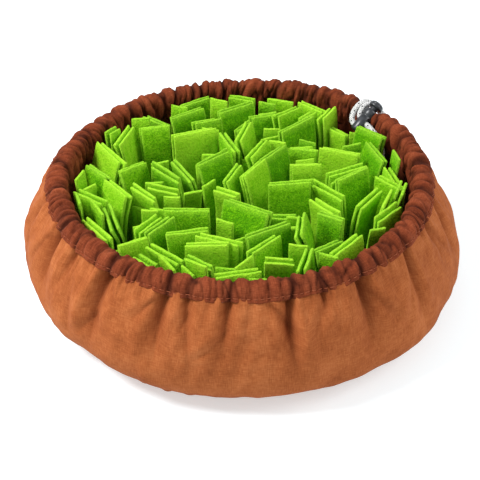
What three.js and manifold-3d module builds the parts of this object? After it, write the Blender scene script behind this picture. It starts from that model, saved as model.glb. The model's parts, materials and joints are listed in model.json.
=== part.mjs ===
// A snuffle bowl: a low round cloth bowl whose gathered rim is drawn in by a cord, filled with
// upright folded felt strips between which dry food is hidden. A small cord lock sits on the rim.
//
// Millimetres, +Z up. The origin is the middle of the base, on the surface the bowl stands on;
// -Y is the front and the cord lock is at the back right. Angles run anticlockwise from +X.
import * as THREE from "three";
import { mergeVertices } from "three/addons/utils/BufferGeometryUtils.js";
import Module from "manifold-3d";

const wasm = await Module();
wasm.setup();

// Driving dimensions.
const CLOTH = 1.5; // thickness of the wall and base cloth
const INNER_CLOTH = 1.2; // thickness of the cloth that carries the felt
const GAP = 0.4; // air between pieces that touch
const RIM_RADIUS = 116.5; // middle of the channel that the rim's cord runs in
const RIM_HEIGHT = 78; // height of that channel at the front
const RIM_RISE = 3; // how much higher the rim stands at the back
const BASE_RADIUS = 122;
const CORD_RADIUS = 2;
const CORD_ROOM = 0.9; // air round the cord in its holes
const LOCK_ANGLE = 37.5; // where the cord lock sits on the rim
const LOCK_PRESS = 0.76; // how far the lock presses the rim down, as a share of the pinched shape
const STRAND_PRESS = 0.42; // and the two strands left of it
const FELT = 2; // thickness of one felt leaf
const LEAF_GAP = 1; // air between two leaves of a strip
const FELT_WEB = 2.4; // height of the fold that joins the leaves
const FELT_BEND = 36; // length at a strip's top over which it leans
const RIM_GATHERS = 44; // puckers round the rim, each a crest and a hollow
const ROUND = 2 * Math.PI;

const radians = (degrees) => (degrees * Math.PI) / 180;
const mix = (a, b, share) => a + (b - a) * share;
const smooth = (x) => x * x * (3 - 2 * x);
const ramp = (x, from, to) => smooth(Math.min(1, Math.max(0, (x - from) / (to - from))));

// A point at an angle, a radius and a height.
function polar(angle, radius, height) {
  return new THREE.Vector3(radius * Math.cos(angle), radius * Math.sin(angle), height);
}

// How far round the rim from the lock an angle is, in mm, positive to the left of it.
function pastLock(angle) {
  const turn = angle - radians(LOCK_ANGLE);
  return (turn - ROUND * Math.round(turn / ROUND)) * RIM_RADIUS;
}

// How far the rim is pressed down under the lock and, less, under the two strands left of it.
// The wall beneath gives way over a stretch that is wider by a margin at each side.
function pinch(angle, margin = 0) {
  const along = pastLock(angle);
  if (along < 0) return LOCK_PRESS * (1 - ramp(-along - margin, 5, 9));
  return mix(LOCK_PRESS, STRAND_PRESS, ramp(along - margin, 4.5, 8)) * (1 - ramp(along - margin, 13, 17));
}

const rimRise = (angle) => (RIM_RISE / 2) * (1 + Math.sin(angle));

// ---- Shapes -------------------------------------------------------------------------------

function meshOf(points, faces) {
  const geometry = new THREE.BufferGeometry();
  geometry.setAttribute("position", new THREE.Float32BufferAttribute(points.flatMap((p) => p.toArray()), 3));
  let volume = 0;
  for (const [a, b, c] of faces) volume += points[a].dot(points[b].clone().cross(points[c]));
  geometry.setIndex(faces.flatMap(([a, b, c]) => (volume > 0 ? [a, b, c] : [a, c, b])));
  return geometry;
}

// A closed ring: sectionAt(angle, column) gives the closed loop of [radius, height] at each angle.
function ringLoft(angles, sectionAt) {
  const sections = angles.map(sectionAt);
  const size = sections[0].length;
  const points = sections.flatMap((s, i) => s.map(([radius, height]) => polar(angles[i], radius, height)));
  const faces = [];
  for (let i = 0; i < angles.length; i += 1) {
    const here = i * size;
    const next = ((i + 1) % angles.length) * size;
    for (let k = 0; k < size; k += 1) {
      const up = (k + 1) % size;
      faces.push([here + k, next + k, next + up], [here + k, next + up, here + up]);
    }
  }
  return meshOf(points, faces);
}

const evenAngles = (count) => Array.from({ length: count }, (_, i) => (i * ROUND) / count);

// A round tube along a curve.
function tubeAlong(points, radius, sides, steps) {
  const curve = new THREE.CatmullRomCurve3(points, false, "centripetal");
  const corners = Array.from({ length: sides }, (_, i) => {
    const angle = (i * ROUND) / sides;
    return new THREE.Vector2(radius * Math.cos(angle), radius * Math.sin(angle));
  });
  return new THREE.ExtrudeGeometry(new THREE.Shape(corners), { extrudePath: curve, steps, bevelEnabled: false });
}

function solidOf(geometry) {
  const bare = geometry.clone();
  bare.deleteAttribute("normal");
  bare.deleteAttribute("uv");
  const merged = mergeVertices(bare, 1e-4);
  const vertProperties = new Float32Array(merged.attributes.position.array);
  return new wasm.Manifold(new wasm.Mesh({ numProp: 3, vertProperties, triVerts: new Uint32Array(merged.index.array) }));
}

function geometryOf(solid) {
  const mesh = solid.getMesh();
  const geometry = new THREE.BufferGeometry();
  geometry.setAttribute("position", new THREE.BufferAttribute(new Float32Array(mesh.vertProperties), 3));
  geometry.setIndex(new THREE.BufferAttribute(new Uint32Array(mesh.triVerts), 1));
  return geometry;
}

const cutOut = (geometry, tools) =>
  geometryOf(tools.reduce((solid, tool) => solid.subtract(solidOf(tool)), solidOf(geometry)));

// ---- Materials ----------------------------------------------------------------------------

const finish = (color, roughness, metalness = 0) => new THREE.MeshStandardMaterial({ color, roughness, metalness });
const terracottaCloth = () => finish(0xa95b33, 0.95);
const brownCloth = () => finish(0x783920, 0.95);
const greenFelt = () => finish(0x6fa71e, 1);
const speckledCord = () => finish(0xd0d0cc, 0.7);
const blackPlastic = () => finish(0x2a2c30, 0.45);

// ---- Outer wall ---------------------------------------------------------------------------

// The wall's outer surface from the base seam up to the edge hidden in the casing. "fold" is
// how much of a fold's depth shows there; "pinched" is where the lock presses that point to.
const WALL_PROFILE = [
  { radius: 124.4, height: 0.3, fold: 0 },
  { radius: 134.5, height: 8, fold: 0.15 },
  { radius: 142.5, height: 17, fold: 0.3 },
  { radius: 144.6, height: 28, fold: 0.5 },
  { radius: 142.4, height: 42, fold: 0.8 },
  { radius: 136.5, height: 58, fold: 1 },
  { radius: 126.2, height: 73, fold: 0.15, pinched: [127.4, 66] },
  { radius: 121.8, height: 76.6, fold: 0, pinched: [124.6, 67.6] },
];

// The wall's troughs: where each starts under the casing, how deep it is there, how far down
// the wall it still shows (share of the wall), and how far it has turned at its lower end.
const WALL_FOLDS = [
  { at: 4, depth: 3, reach: 0.6, turn: -2 },
  { at: 18, depth: 2.4, reach: 0.5, turn: 3 },
  { at: 33, depth: 4, reach: 0.7, turn: 4 },
  { at: 46, depth: 3, reach: 0.6, turn: -3 },
  { at: 61, depth: 2.5, reach: 0.5, turn: 2 },
  { at: 75, depth: 3.4, reach: 0.6, turn: -2 },
  { at: 91, depth: 2.4, reach: 0.5, turn: 3 },
  { at: 104, depth: 3.6, reach: 0.7, turn: -3 },
  { at: 120, depth: 2.6, reach: 0.5, turn: 2 },
  { at: 134, depth: 3.2, reach: 0.6, turn: 3 },
  { at: 148, depth: 2.6, reach: 0.5, turn: -2 },
  { at: 163, depth: 3.4, reach: 0.6, turn: 3 },
  { at: 177, depth: 2.4, reach: 0.5, turn: -2 },
  { at: 191, depth: 2.8, reach: 0.5, turn: -2 },
  { at: 207, depth: 3.2, reach: 0.6, turn: 2 },
  { at: 217, depth: 2.8, reach: 0.5, turn: -2 },
  { at: 232, depth: 5, reach: 0.8, turn: -4 },
  { at: 250, depth: 4, reach: 0.7, turn: -3 },
  { at: 265, depth: 3, reach: 0.6, turn: 1 },
  { at: 283, depth: 4.6, reach: 0.9, turn: 0 },
  { at: 292, depth: 2.6, reach: 0.5, turn: 2 },
  { at: 304, depth: 5, reach: 0.8, turn: 5 },
  { at: 322, depth: 3.4, reach: 0.7, turn: 2 },
  { at: 339, depth: 3, reach: 0.6, turn: 3 },
  { at: 351, depth: 2.2, reach: 0.5, turn: -2 },
];
const FOLD_CREST = 1.6; // how far the cloth stands out half-way between two troughs
const FOLD_SHARES = [0, 0.33, 0.67]; // where the wall's columns lie between two troughs
const LOCK_SHARES = [0, 0.17, 0.33, 0.5, 0.67, 0.83]; // and where they lie near the lock
const WALL_MARGIN = 5; // how much wider than the rim the wall gives way at the lock

function outerWall(cordTools) {
  const columns = WALL_FOLDS.flatMap((fold, i) => {
    const next = WALL_FOLDS[(i + 1) % WALL_FOLDS.length];
    const span = (next.at - fold.at + 360) % 360;
    const shares = fold.at > 15 && fold.at < 50 ? LOCK_SHARES : FOLD_SHARES;
    return shares.map((share) => ({ fold, next, share, at: fold.at + share * span }));
  });
  const angles = columns.map((column) => radians(column.at));
  const points = [];
  const rows = WALL_PROFILE.length;
  // Each row follows the profile; the inner surface lies one cloth thickness inside it.
  const normals = WALL_PROFILE.map((_, k) => {
    const a = WALL_PROFILE[Math.max(0, k - 1)];
    const b = WALL_PROFILE[Math.min(rows - 1, k + 1)];
    return new THREE.Vector2(b.height - a.height, a.radius - b.radius).normalize();
  });
  columns.forEach(({ fold, next, share }, i) => {
    const angle = angles[i];
    const press = pinch(angle, WALL_MARGIN);
    const outer = [];
    const inner = [];
    WALL_PROFILE.forEach((row, k) => {
      const near = Math.max(0, (k / (rows - 1) - (1 - fold.reach)) / fold.reach);
      const trough = share === 0 ? -fold.depth * near : FOLD_CREST * (near + 0.3);
      const sway = radians(mix(fold.turn, next.turn, share)) * (1 - k / (rows - 1));
      const swell = trough * row.fold * (1 - press);
      const [pinchedRadius, pinchedHeight] = row.pinched ?? [row.radius, row.height];
      const lift = (rimRise(angle) * row.height) / RIM_HEIGHT;
      const radius = mix(row.radius, pinchedRadius, press) + swell;
      const height = mix(row.height + lift, row.pinched ? pinchedHeight : row.height + lift, press);
      outer.push(polar(angle + sway, radius, height));
      inner.push(polar(angle + sway, radius - CLOTH * normals[k].x, Math.max(0.3, height - CLOTH * normals[k].y)));
    });
    points.push([...outer, ...inner.reverse()]);
  });
  const size = 2 * rows;
  const faces = [];
  for (let i = 0; i < points.length; i += 1) {
    const here = i * size;
    const next = ((i + 1) % points.length) * size;
    for (let k = 0; k < size; k += 1) {
      const up = (k + 1) % size;
      faces.push([here + k, next + k, next + up], [here + k, next + up, here + up]);
    }
  }
  // Its upper edge has a slit wherever the cord leaves the casing.
  return cutOut(meshOf(points.flat(), faces), cordTools);
}

// ---- Base -------------------------------------------------------------------------------

// A flat round panel of cloth.
function panel(radius, bottom, thickness) {
  const profile = [
    new THREE.Vector2(0, bottom),
    new THREE.Vector2(radius, bottom),
    new THREE.Vector2(radius, bottom + thickness),
    new THREE.Vector2(0, bottom + thickness),
  ];
  return new THREE.LatheGeometry(profile, 60).rotateX(Math.PI / 2);
}

const basePanel = () => panel(BASE_RADIUS, 0, CLOTH);

// ---- Rim casing -------------------------------------------------------------------------

// The casing is a strip folded over the rim. Its section, as [radius, height], runs from the
// stitched outer edge over the crest to the edge inside the bowl and back along its underside.
const CASING_SECTION = [
  { free: [127, 75.6], pinched: [128.6, 69.6], pucker: 0.3 },
  { free: [123.3, 79], pinched: [125.6, 72.2], pucker: 0.7 },
  { free: [119.6, 81.9], pinched: [122.9, 74.3], pucker: 1 },
  { free: [116.5, 83], pinched: [120.2, 75.1], pucker: 1 },
  { free: [113.3, 81.8], pinched: [117.4, 73.9], pucker: 1 },
  { free: [111.6, 78.6], pinched: [116.2, 70.8], pucker: 0.8 },
  { free: [111.2, 62], pinched: [113.5, 55], pucker: 0.3 },
  { free: [112.7, 62], pinched: [115, 55], pucker: 0.3 },
  { free: [113.1, 78.2], pinched: [117.7, 70.5], pucker: 0.8 },
  { free: [114.2, 80.6], pinched: [118.5, 72.6], pucker: 1 },
  { free: [116.3, 81.5], pinched: [120.3, 73.6], pucker: 1 },
  { free: [118.9, 80.6], pinched: [122.2, 72.9], pucker: 1 },
  { free: [122.4, 77.8], pinched: [124.7, 71], pucker: 0.7 },
  { free: [126.1, 74.4], pinched: [127.6, 68.4], pucker: 0.3 },
];
const CASING_MIDDLE = { free: [RIM_RADIUS, RIM_HEIGHT], pinched: [120.3, 70.9] };
const PUCKER_OUT = 0.9; // how far a gather stands out from the channel
const PRESSED = { from: -14, to: 22, step: 3 }; // the stretch pressed down at the lock, in mm past it

function channelMiddle(angle) {
  const press = pinch(angle);
  const { free, pinched } = CASING_MIDDLE;
  return [mix(free[0], pinched[0], press), mix(free[1] + rimRise(angle), pinched[1], press)];
}

// Crests and hollows take turns; three slow waves make them uneven.
function pucker(column, angle) {
  const uneven = 0.55 + 0.25 * Math.sin(5 * angle + 1) + 0.2 * Math.sin(11 * angle + 2);
  return (column % 2 ? 1 : -0.3) * uneven * PUCKER_OUT * (1 - pinch(angle));
}

// Gathers of uneven width, with plain close columns where the rim is pressed down.
function rimAngles() {
  const gathers = evenAngles(2 * RIM_GATHERS).map((angle, i) => angle + radians(0.7 * Math.sin(1.7 * i)));
  const open = gathers.filter((angle) => pastLock(angle) < PRESSED.from - 2 || pastLock(angle) > PRESSED.to + 2);
  const count = Math.round((PRESSED.to - PRESSED.from) / PRESSED.step);
  const pressed = Array.from({ length: count + 1 }, (_, i) => {
    return radians(LOCK_ANGLE) + (PRESSED.from + i * PRESSED.step) / RIM_RADIUS;
  });
  return [...open, ...pressed].sort((a, b) => a - b);
}

function rimCasing(cordTools) {
  const ring = ringLoft(rimAngles(), (angle, column) => {
    const press = pinch(angle);
    const [middleRadius, middleHeight] = channelMiddle(angle);
    const rise = rimRise(angle);
    return CASING_SECTION.map((point) => {
      const radius = mix(point.free[0], point.pinched[0], press);
      const height = mix(point.free[1] + rise, point.pinched[1], press);
      const away = new THREE.Vector2(radius - middleRadius, height - middleHeight).normalize();
      const out = point.pucker * pucker(column, angle);
      return [radius + away.x * out, height + away.y * out];
    });
  });
  return cutOut(ring, cordTools);
}

// ---- Inner cloth ------------------------------------------------------------------------

// The cloth that carries the felt: a flat floor, and a side that runs up into the casing.
const FLOOR_HEIGHT = 4.2;
const FLOOR_RADIUS = 84;
const FLOOR_GAP = 0.5; // between the floor and the side round it
const SIDE_PROFILE = [
  { radius: FLOOR_RADIUS + FLOOR_GAP, height: FLOOR_HEIGHT },
  { radius: 98, height: 8 },
  { radius: 107.5, height: 16 },
  { radius: 112, height: 30 },
  { radius: 113.4, height: 50, pinched: [116, 42] },
  { radius: 114, height: 69, pinched: [118.8, 60] },
];

const innerFloor = () => panel(FLOOR_RADIUS, FLOOR_HEIGHT - INNER_CLOTH, INNER_CLOTH);

function innerSide() {
  return ringLoft(evenAngles(48), (angle) => {
    const press = pinch(angle);
    const top = SIDE_PROFILE.map((row, k) => {
      const [radius, height] = row.pinched ?? [row.radius, row.height];
      const rise = k > 3 ? rimRise(angle) / 2 : 0;
      return [mix(row.radius, radius, press), mix(row.height + rise, height, press)];
    });
    const under = top.map(([radius, height], k) => {
      const before = top[Math.max(0, k - 1)];
      const after = top[Math.min(top.length - 1, k + 1)];
      const side = new THREE.Vector2(after[1] - before[1], before[0] - after[0]).normalize();
      return [radius + INNER_CLOTH * side.x, height + INNER_CLOTH * side.y];
    });
    return [...under, ...top.reverse()];
  });
}

// Height of the inner cloth's upper side at a distance from the axis.
function floorUnder(distance) {
  const rows = [{ radius: 0, height: FLOOR_HEIGHT }, ...SIDE_PROFILE];
  const k = rows.findIndex((row) => row.radius >= distance);
  if (k <= 0) return FLOOR_HEIGHT;
  const share = (distance - rows[k - 1].radius) / (rows[k].radius - rows[k - 1].radius);
  return mix(rows[k - 1].height, rows[k].height, share);
}

// ---- Felt strips ------------------------------------------------------------------------

// Each strip is folded in half and sewn to the floor at the fold. x and y are the middle of
// its upper edge, top that edge's height, turn the edge's direction in degrees, lean how far
// its upper part leans over to the edge's left (degrees), wide its width, leaves their number.
const FELT_STRIPS = [
  { x: -81, y: 49, top: 77, turn: 76, lean: 20, wide: 28, leaves: 2 },
  { x: -60, y: 61, top: 76, turn: 17, lean: 20, wide: 20, leaves: 2 },
  { x: -85, y: 28, top: 77, turn: -53, lean: 25, wide: 30, leaves: 2 },
  { x: -93, y: 8, top: 76, turn: -48, lean: 18, wide: 24, leaves: 2 },
  { x: -94.5, y: -21.8, top: 76, turn: -33, lean: 0, wide: 25, leaves: 2 },
  { x: -77.5, y: -13.5, top: 76, turn: -54, lean: 20, wide: 24, leaves: 2 },
  { x: -72, y: 14, top: 76, turn: 47, lean: 20, wide: 22, leaves: 2 },
  { x: -49, y: 5, top: 76, turn: -47, lean: -15, wide: 28, leaves: 2 },
  { x: -62, y: -17, top: 75, turn: -46, lean: -15, wide: 24, leaves: 2 },
  { x: -32, y: 54, top: 77, turn: 15, lean: 15, wide: 30, leaves: 2 },
  { x: -38, y: 80, top: 77, turn: 36, lean: 20, wide: 27, leaves: 2 },
  { x: -33, y: 97, top: 76, turn: 30, lean: 10, wide: 24, leaves: 2 },
  { x: 2, y: 102.5, top: 76, turn: -16, lean: 5, wide: 20, leaves: 2 },
  { x: -4.5, y: 88, top: 77, turn: 30, lean: 20, wide: 28, leaves: 2 },
  { x: 29, y: 100, top: 76, turn: -20, lean: 5, wide: 19, leaves: 2 },
  { x: 52, y: 91, top: 76, turn: -31, lean: 8, wide: 22, leaves: 2 },
  { x: 33.1, y: 82, top: 77, turn: 46, lean: 15, wide: 24, leaves: 2 },
  { x: 1, y: 55, top: 77, turn: 77, lean: 20, wide: 28, leaves: 2 },
  { x: 17.7, y: 79.2, top: 75, turn: 23, lean: 15, wide: 22, leaves: 2 },
  { x: 38, y: 61, top: 78, turn: 35, lean: 15, wide: 30, leaves: 2 },
  { x: 10, y: 33, top: 76, turn: 65, lean: 25, wide: 26, leaves: 2 },
  { x: 5.5, y: 8, top: 77, turn: 53, lean: 25, wide: 23, leaves: 3 },
  { x: 21.5, y: 29, top: 76, turn: 54, lean: 22, wide: 24, leaves: 2 },
  { x: -6, y: 6, top: 75, turn: 66, lean: 20, wide: 24, leaves: 2 },
  { x: -19, y: 22, top: 77, turn: 44, lean: 25, wide: 28, leaves: 2 },
  { x: 61, y: 76, top: 79, turn: 54, lean: 8, wide: 18, leaves: 2 },
  { x: 90.6, y: 49, top: 80, turn: -44, lean: 20, wide: 23, leaves: 2 },
  { x: 93, y: 29, top: 77, turn: -65, lean: 20, wide: 26, leaves: 2 },
  { x: 67, y: 31, top: 77, turn: -13, lean: 10, wide: 27, leaves: 2 },
  { x: 72.5, y: 0.5, top: 79, turn: 27, lean: 15, wide: 24, leaves: 2 },
  { x: 97.5, y: -6, top: 77, turn: -38, lean: 0, wide: 21, leaves: 2 },
  { x: 33, y: -9, top: 79, turn: 0, lean: 10, wide: 27, leaves: 2 },
  { x: 56, y: -14, top: 75, turn: -52, lean: -15, wide: 26, leaves: 2 },
  { x: 35, y: -57, top: 78, turn: 88, lean: 28, wide: 25, leaves: 2 },
  { x: 63, y: -74, top: 77, turn: 48, lean: 14, wide: 26, leaves: 2 },
  { x: 92, y: -40, top: 77, turn: 48, lean: 0, wide: 24, leaves: 2 },
  { x: 38, y: -89, top: 78, turn: 73, lean: 5, wide: 22, leaves: 2 },
  { x: 14, y: -71.5, top: 76, turn: 44, lean: 10, wide: 25, leaves: 2 },
  { x: 17, y: -57, top: 77, turn: 28, lean: 15, wide: 30, leaves: 2 },
  { x: 7, y: -34, top: 77, turn: -37, lean: 25, wide: 32, leaves: 2 },
  { x: -88, y: -55, top: 75, turn: -55, lean: -5, wide: 28, leaves: 2 },
  { x: -81, y: -46, top: 76, turn: -73, lean: -25, wide: 27, leaves: 2 },
  { x: -57, y: -50, top: 76, turn: 52, lean: 4, wide: 22, leaves: 2 },
  { x: -32, y: -37, top: 77, turn: 2, lean: 10, wide: 28, leaves: 2 },
  { x: -49.5, y: -53, top: 77, turn: 52, lean: 10, wide: 24, leaves: 2 },
  { x: -65.4, y: -69.4, top: 76, turn: 28, lean: 18, wide: 20, leaves: 2 },
  { x: -45, y: -84, top: 77, turn: -44, lean: -20, wide: 25, leaves: 2 },
  { x: -24, y: -89, top: 76, turn: -40, lean: -10, wide: 20, leaves: 2 },
  { x: -12, y: -67, top: 77, turn: -17, lean: 5, wide: 27, leaves: 2 },
  { x: -19, y: -74, top: 78, turn: -2, lean: 5, wide: 26, leaves: 2 },
  { x: -2, y: -98.5, top: 76, turn: 7, lean: 8, wide: 26, leaves: 2 },
];

// The strip's middle line: straight up from its foot, then bending over by the lean angle.
// Returns the sideways place, the height and the slope at a distance along it.
function stripLine(along, length, lean) {
  const bent = Math.max(0, along - (length - FELT_BEND));
  const slope = (radians(lean) * bent) / FELT_BEND;
  if (Math.abs(lean) < 1 || bent === 0) return { side: 0, height: along, slope: 0 };
  const radius = FELT_BEND / radians(lean);
  const start = length - FELT_BEND;
  return { side: radius * (1 - Math.cos(slope)), height: start + radius * Math.sin(slope), slope };
}

// The section of a folded strip: its leaves side by side, joined by the fold at the foot.
function stripSection(length, lean, leaves) {
  const thick = leaves * FELT + (leaves - 1) * LEAF_GAP;
  const bends = Math.abs(lean) < 9 ? [length - FELT_BEND * 0.7] : [length - FELT_BEND, length - FELT_BEND / 2];
  const climb = (from) => [from, ...bends, length];
  const outline = [];
  for (let leaf = 0; leaf < leaves; leaf += 1) {
    const left = leaf * (FELT + LEAF_GAP) - thick / 2;
    const right = left + FELT;
    const first = leaf === 0 ? 1 : FELT_WEB;
    const last = leaf === leaves - 1 ? 1 : FELT_WEB;
    outline.push(...climb(first).map((along) => [left, along]));
    outline.push(...climb(last).reverse().map((along) => [right, along]));
  }
  outline.push([thick / 2 - 1, 0], [1 - thick / 2, 0]);
  return outline.map(([across, along]) => {
    const { side, height, slope } = stripLine(along, length, lean);
    return new THREE.Vector2(side + across * Math.cos(slope), height - across * Math.sin(slope));
  });
}

function feltStrip({ x, y, top, turn, lean, wide, leaves }) {
  // The foot is found from the upper edge: the lean moves the foot the other way.
  const { side, height } = stripLine(FELT_BEND, FELT_BEND, lean);
  const edge = radians(turn);
  const footX = x + side * Math.sin(edge);
  const footY = y - side * Math.cos(edge);
  const reach = Math.hypot(Math.abs(footX) + (wide / 2) * Math.abs(Math.cos(edge)) + 2,
    Math.abs(footY) + (wide / 2) * Math.abs(Math.sin(edge)) + 2);
  const foot = floorUnder(Math.min(reach, 108)) + 1;
  const length = top - foot - height + FELT_BEND;
  const shape = new THREE.Shape(stripSection(length, lean, leaves));
  const geometry = new THREE.ExtrudeGeometry(shape, { depth: wide, steps: 1, bevelEnabled: false });
  geometry.translate(0, 0, -wide / 2);
  // The section's X is across the strip, its Y is up and its Z runs along the folded edge.
  const across = new THREE.Vector3(-Math.sin(edge), Math.cos(edge), 0);
  const up = new THREE.Vector3(0, 0, 1);
  geometry.applyMatrix4(new THREE.Matrix4().makeBasis(across, up, across.clone().cross(up)));
  return { geometry, place: new THREE.Vector3(footX, footY, foot) };
}

// ---- Cord -------------------------------------------------------------------------------

// The free bight, as mm past the lock, radius and height: out of the casing at the back, over
// the crest, through the lock, a loop inside the bowl, back through the lock and over the
// crest, then round behind the lock and into the casing on its other side.
const BIGHT_ROUTE = [
  { along: 40, radius: 116.5, height: 80.6 },
  { along: 34.5, radius: 119.2, height: 80.4 },
  { along: 29.5, radius: 125.6, height: 77.6 },
  { along: 25, radius: 131, height: 73.8 },
  { along: 20.6, radius: 134, height: 70.6 },
  { along: 16.2, radius: 135.2, height: 69 },
  { along: 12.4, radius: 134.6, height: 71 },
  { along: 11, radius: 131.8, height: 75.6 },
  { along: 11.3, radius: 126.8, height: 80.8 },
  { along: 11.8, radius: 120.4, height: 83.8 },
  { along: 12, radius: 114.4, height: 83 },
  { along: 11.7, radius: 109.6, height: 79.6 },
  { along: 9.4, radius: 106.2, height: 76.2 },
  { along: 5.2, radius: 104.6, height: 74.8 },
  { along: 0, radius: 104.5, height: 74.5 },
  { along: -5, radius: 104.4, height: 73.4 },
  { along: -9.8, radius: 104.6, height: 70 },
  { along: -12.4, radius: 105.4, height: 64.8 },
  { along: -13.8, radius: 106.2, height: 59.4 },
  { along: -16.8, radius: 106.7, height: 55.4 },
  { along: -21, radius: 107.4, height: 54.2 },
  { along: -25, radius: 107.5, height: 56.6 },
  { along: -27, radius: 107.5, height: 61.6 },
  { along: -26, radius: 107.5, height: 67.4 },
  { along: -21.8, radius: 107.4, height: 72.2 },
  { along: -15, radius: 107.2, height: 75.5 },
  { along: -7, radius: 107.7, height: 76.9 },
  { along: -0.8, radius: 108.2, height: 77.2 },
  { along: 3.4, radius: 108.8, height: 77.9 },
  { along: 6.6, radius: 111, height: 80.4 },
  { along: 7.6, radius: 115.4, height: 83.4 },
  { along: 7.6, radius: 120.4, height: 83.8 },
  { along: 7.5, radius: 125.4, height: 80.8 },
  { along: 6.6, radius: 130, height: 75.8 },
  { along: 3.4, radius: 133.6, height: 70.8 },
  { along: -1.6, radius: 135.3, height: 68 },
  { along: -7.6, radius: 135.2, height: 67.9 },
  { along: -13.6, radius: 133.2, height: 71.2 },
  { along: -19.6, radius: 127.8, height: 76.4 },
  { along: -25, radius: 121, height: 79.6 },
  { along: -30, radius: 116.6, height: 80.2 },
];
const BIGHT_STEPS = 50;
const RUN_STEPS = 40;
const RUN_FROM = -31.5; // where the run in the casing starts and ends, in mm past the lock
const RUN_TO = 41.5;

const bightPoints = () =>
  BIGHT_ROUTE.map(({ along, radius, height }) => polar(radians(LOCK_ANGLE) + along / RIM_RADIUS, radius, height));

// The rest of the cord, held in the casing: from right of the lock all the way round to its left.
function runPoints() {
  const from = radians(LOCK_ANGLE) + RUN_FROM / RIM_RADIUS;
  const to = radians(LOCK_ANGLE) + RUN_TO / RIM_RADIUS - ROUND;
  const count = 90;
  return Array.from({ length: count + 1 }, (_, i) => {
    const angle = mix(from, to, i / count);
    return polar(angle, RIM_RADIUS, RIM_HEIGHT + rimRise(angle));
  });
}

// ---- Cord lock --------------------------------------------------------------------------

// The lock's axis lies across the rim and rises outwards. Places along it are measured from
// the point where it crosses the inner face of the rim.
const LOCK_START = { radius: 108.6, height: 77.4 };
const LOCK_TILT = 35.6;
const BARREL = { from: -8.6, to: 9.8, radius: 4.7 };
const BORE = { from: 3.6, radius: 3 };
const BUTTON = { from: 12.3, to: 17, radius: 5.2, stemFrom: 6.8, stemRadius: 2.6 };

// A solid of revolution about the lock's axis, from [distance along, radius] points.
function onLockAxis(profile) {
  const lathe = new THREE.LatheGeometry(profile.map(([along, radius]) => new THREE.Vector2(radius, along)), 16);
  const tilt = radians(LOCK_TILT);
  const turn = radians(LOCK_ANGLE);
  const axis = new THREE.Vector3(Math.cos(tilt) * Math.cos(turn), Math.cos(tilt) * Math.sin(turn), Math.sin(tilt));
  lathe.applyQuaternion(new THREE.Quaternion().setFromUnitVectors(new THREE.Vector3(0, 1, 0), axis));
  const start = polar(turn, LOCK_START.radius, LOCK_START.height);
  return lathe.translate(start.x, start.y, start.z);
}

function lockBody(cordTools) {
  const { from, to, radius } = BARREL;
  const barrel = onLockAxis([
    [from, 0], [from, radius - 1.2], [from + 1.2, radius], [to - 0.8, radius], [to, radius - 0.8],
    [to, BORE.radius], [BORE.from, BORE.radius], [BORE.from, 0],
  ]);
  return cutOut(barrel, cordTools);
}

function lockButton() {
  const { from, to, radius, stemFrom, stemRadius } = BUTTON;
  return onLockAxis([
    [stemFrom, 0], [stemFrom, stemRadius], [from, stemRadius], [from, radius - 0.6], [from + 0.6, radius],
    [to - 2.2, radius], [to - 0.8, radius * 0.75], [to, radius * 0.35], [to, 0],
  ]);
}

// ---- The bowl ---------------------------------------------------------------------------

const bowl = new THREE.Group();

function add(name, geometry, material, place) {
  const mesh = new THREE.Mesh(geometry, material);
  mesh.name = name;
  if (place) mesh.position.copy(place);
  bowl.add(mesh);
}

// The holes the bight needs, one for each way through the lock.
const bight = bightPoints();
const loopEnd = BIGHT_ROUTE.findIndex(({ height }) => height === Math.min(...BIGHT_ROUTE.map((p) => p.height)));
const cordHoles = [bight.slice(0, loopEnd + 1), bight.slice(loopEnd)].map((half) =>
  tubeAlong(half, CORD_RADIUS + CORD_ROOM, 8, BIGHT_STEPS / 2));

add("outer_wall", outerWall(cordHoles), terracottaCloth());
add("base_panel", basePanel(), terracottaCloth());
add("rim_casing", rimCasing(cordHoles), brownCloth());
add("inner_floor", innerFloor(), brownCloth());
add("inner_side", innerSide(), brownCloth());
add("drawcord_in_casing", tubeAlong(runPoints(), CORD_RADIUS, 8, RUN_STEPS), speckledCord());
add("drawcord_bight", tubeAlong(bight, CORD_RADIUS, 8, BIGHT_STEPS), speckledCord());
add("lock_body", lockBody(cordHoles), blackPlastic());
add("lock_button", lockButton(), blackPlastic());
FELT_STRIPS.forEach((strip, i) => {
  const { geometry, place } = feltStrip(strip);
  add(`felt_strip_${String(i + 1).padStart(2, "0")}`, geometry, greenFelt(), place);
});

export default bowl;
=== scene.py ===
"""A snuffle bowl: a gathered cloth bowl full of upright felt strips, with a drawcord and a lock.

Lengths are in millimetres until a mesh is made, angles in radians unless a name says degrees.
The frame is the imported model's: +Z up, -Y towards the front, the origin under the base's middle.
"""
import json
import math
import random

import bpy
import numpy as np
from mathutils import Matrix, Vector, noise

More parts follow.
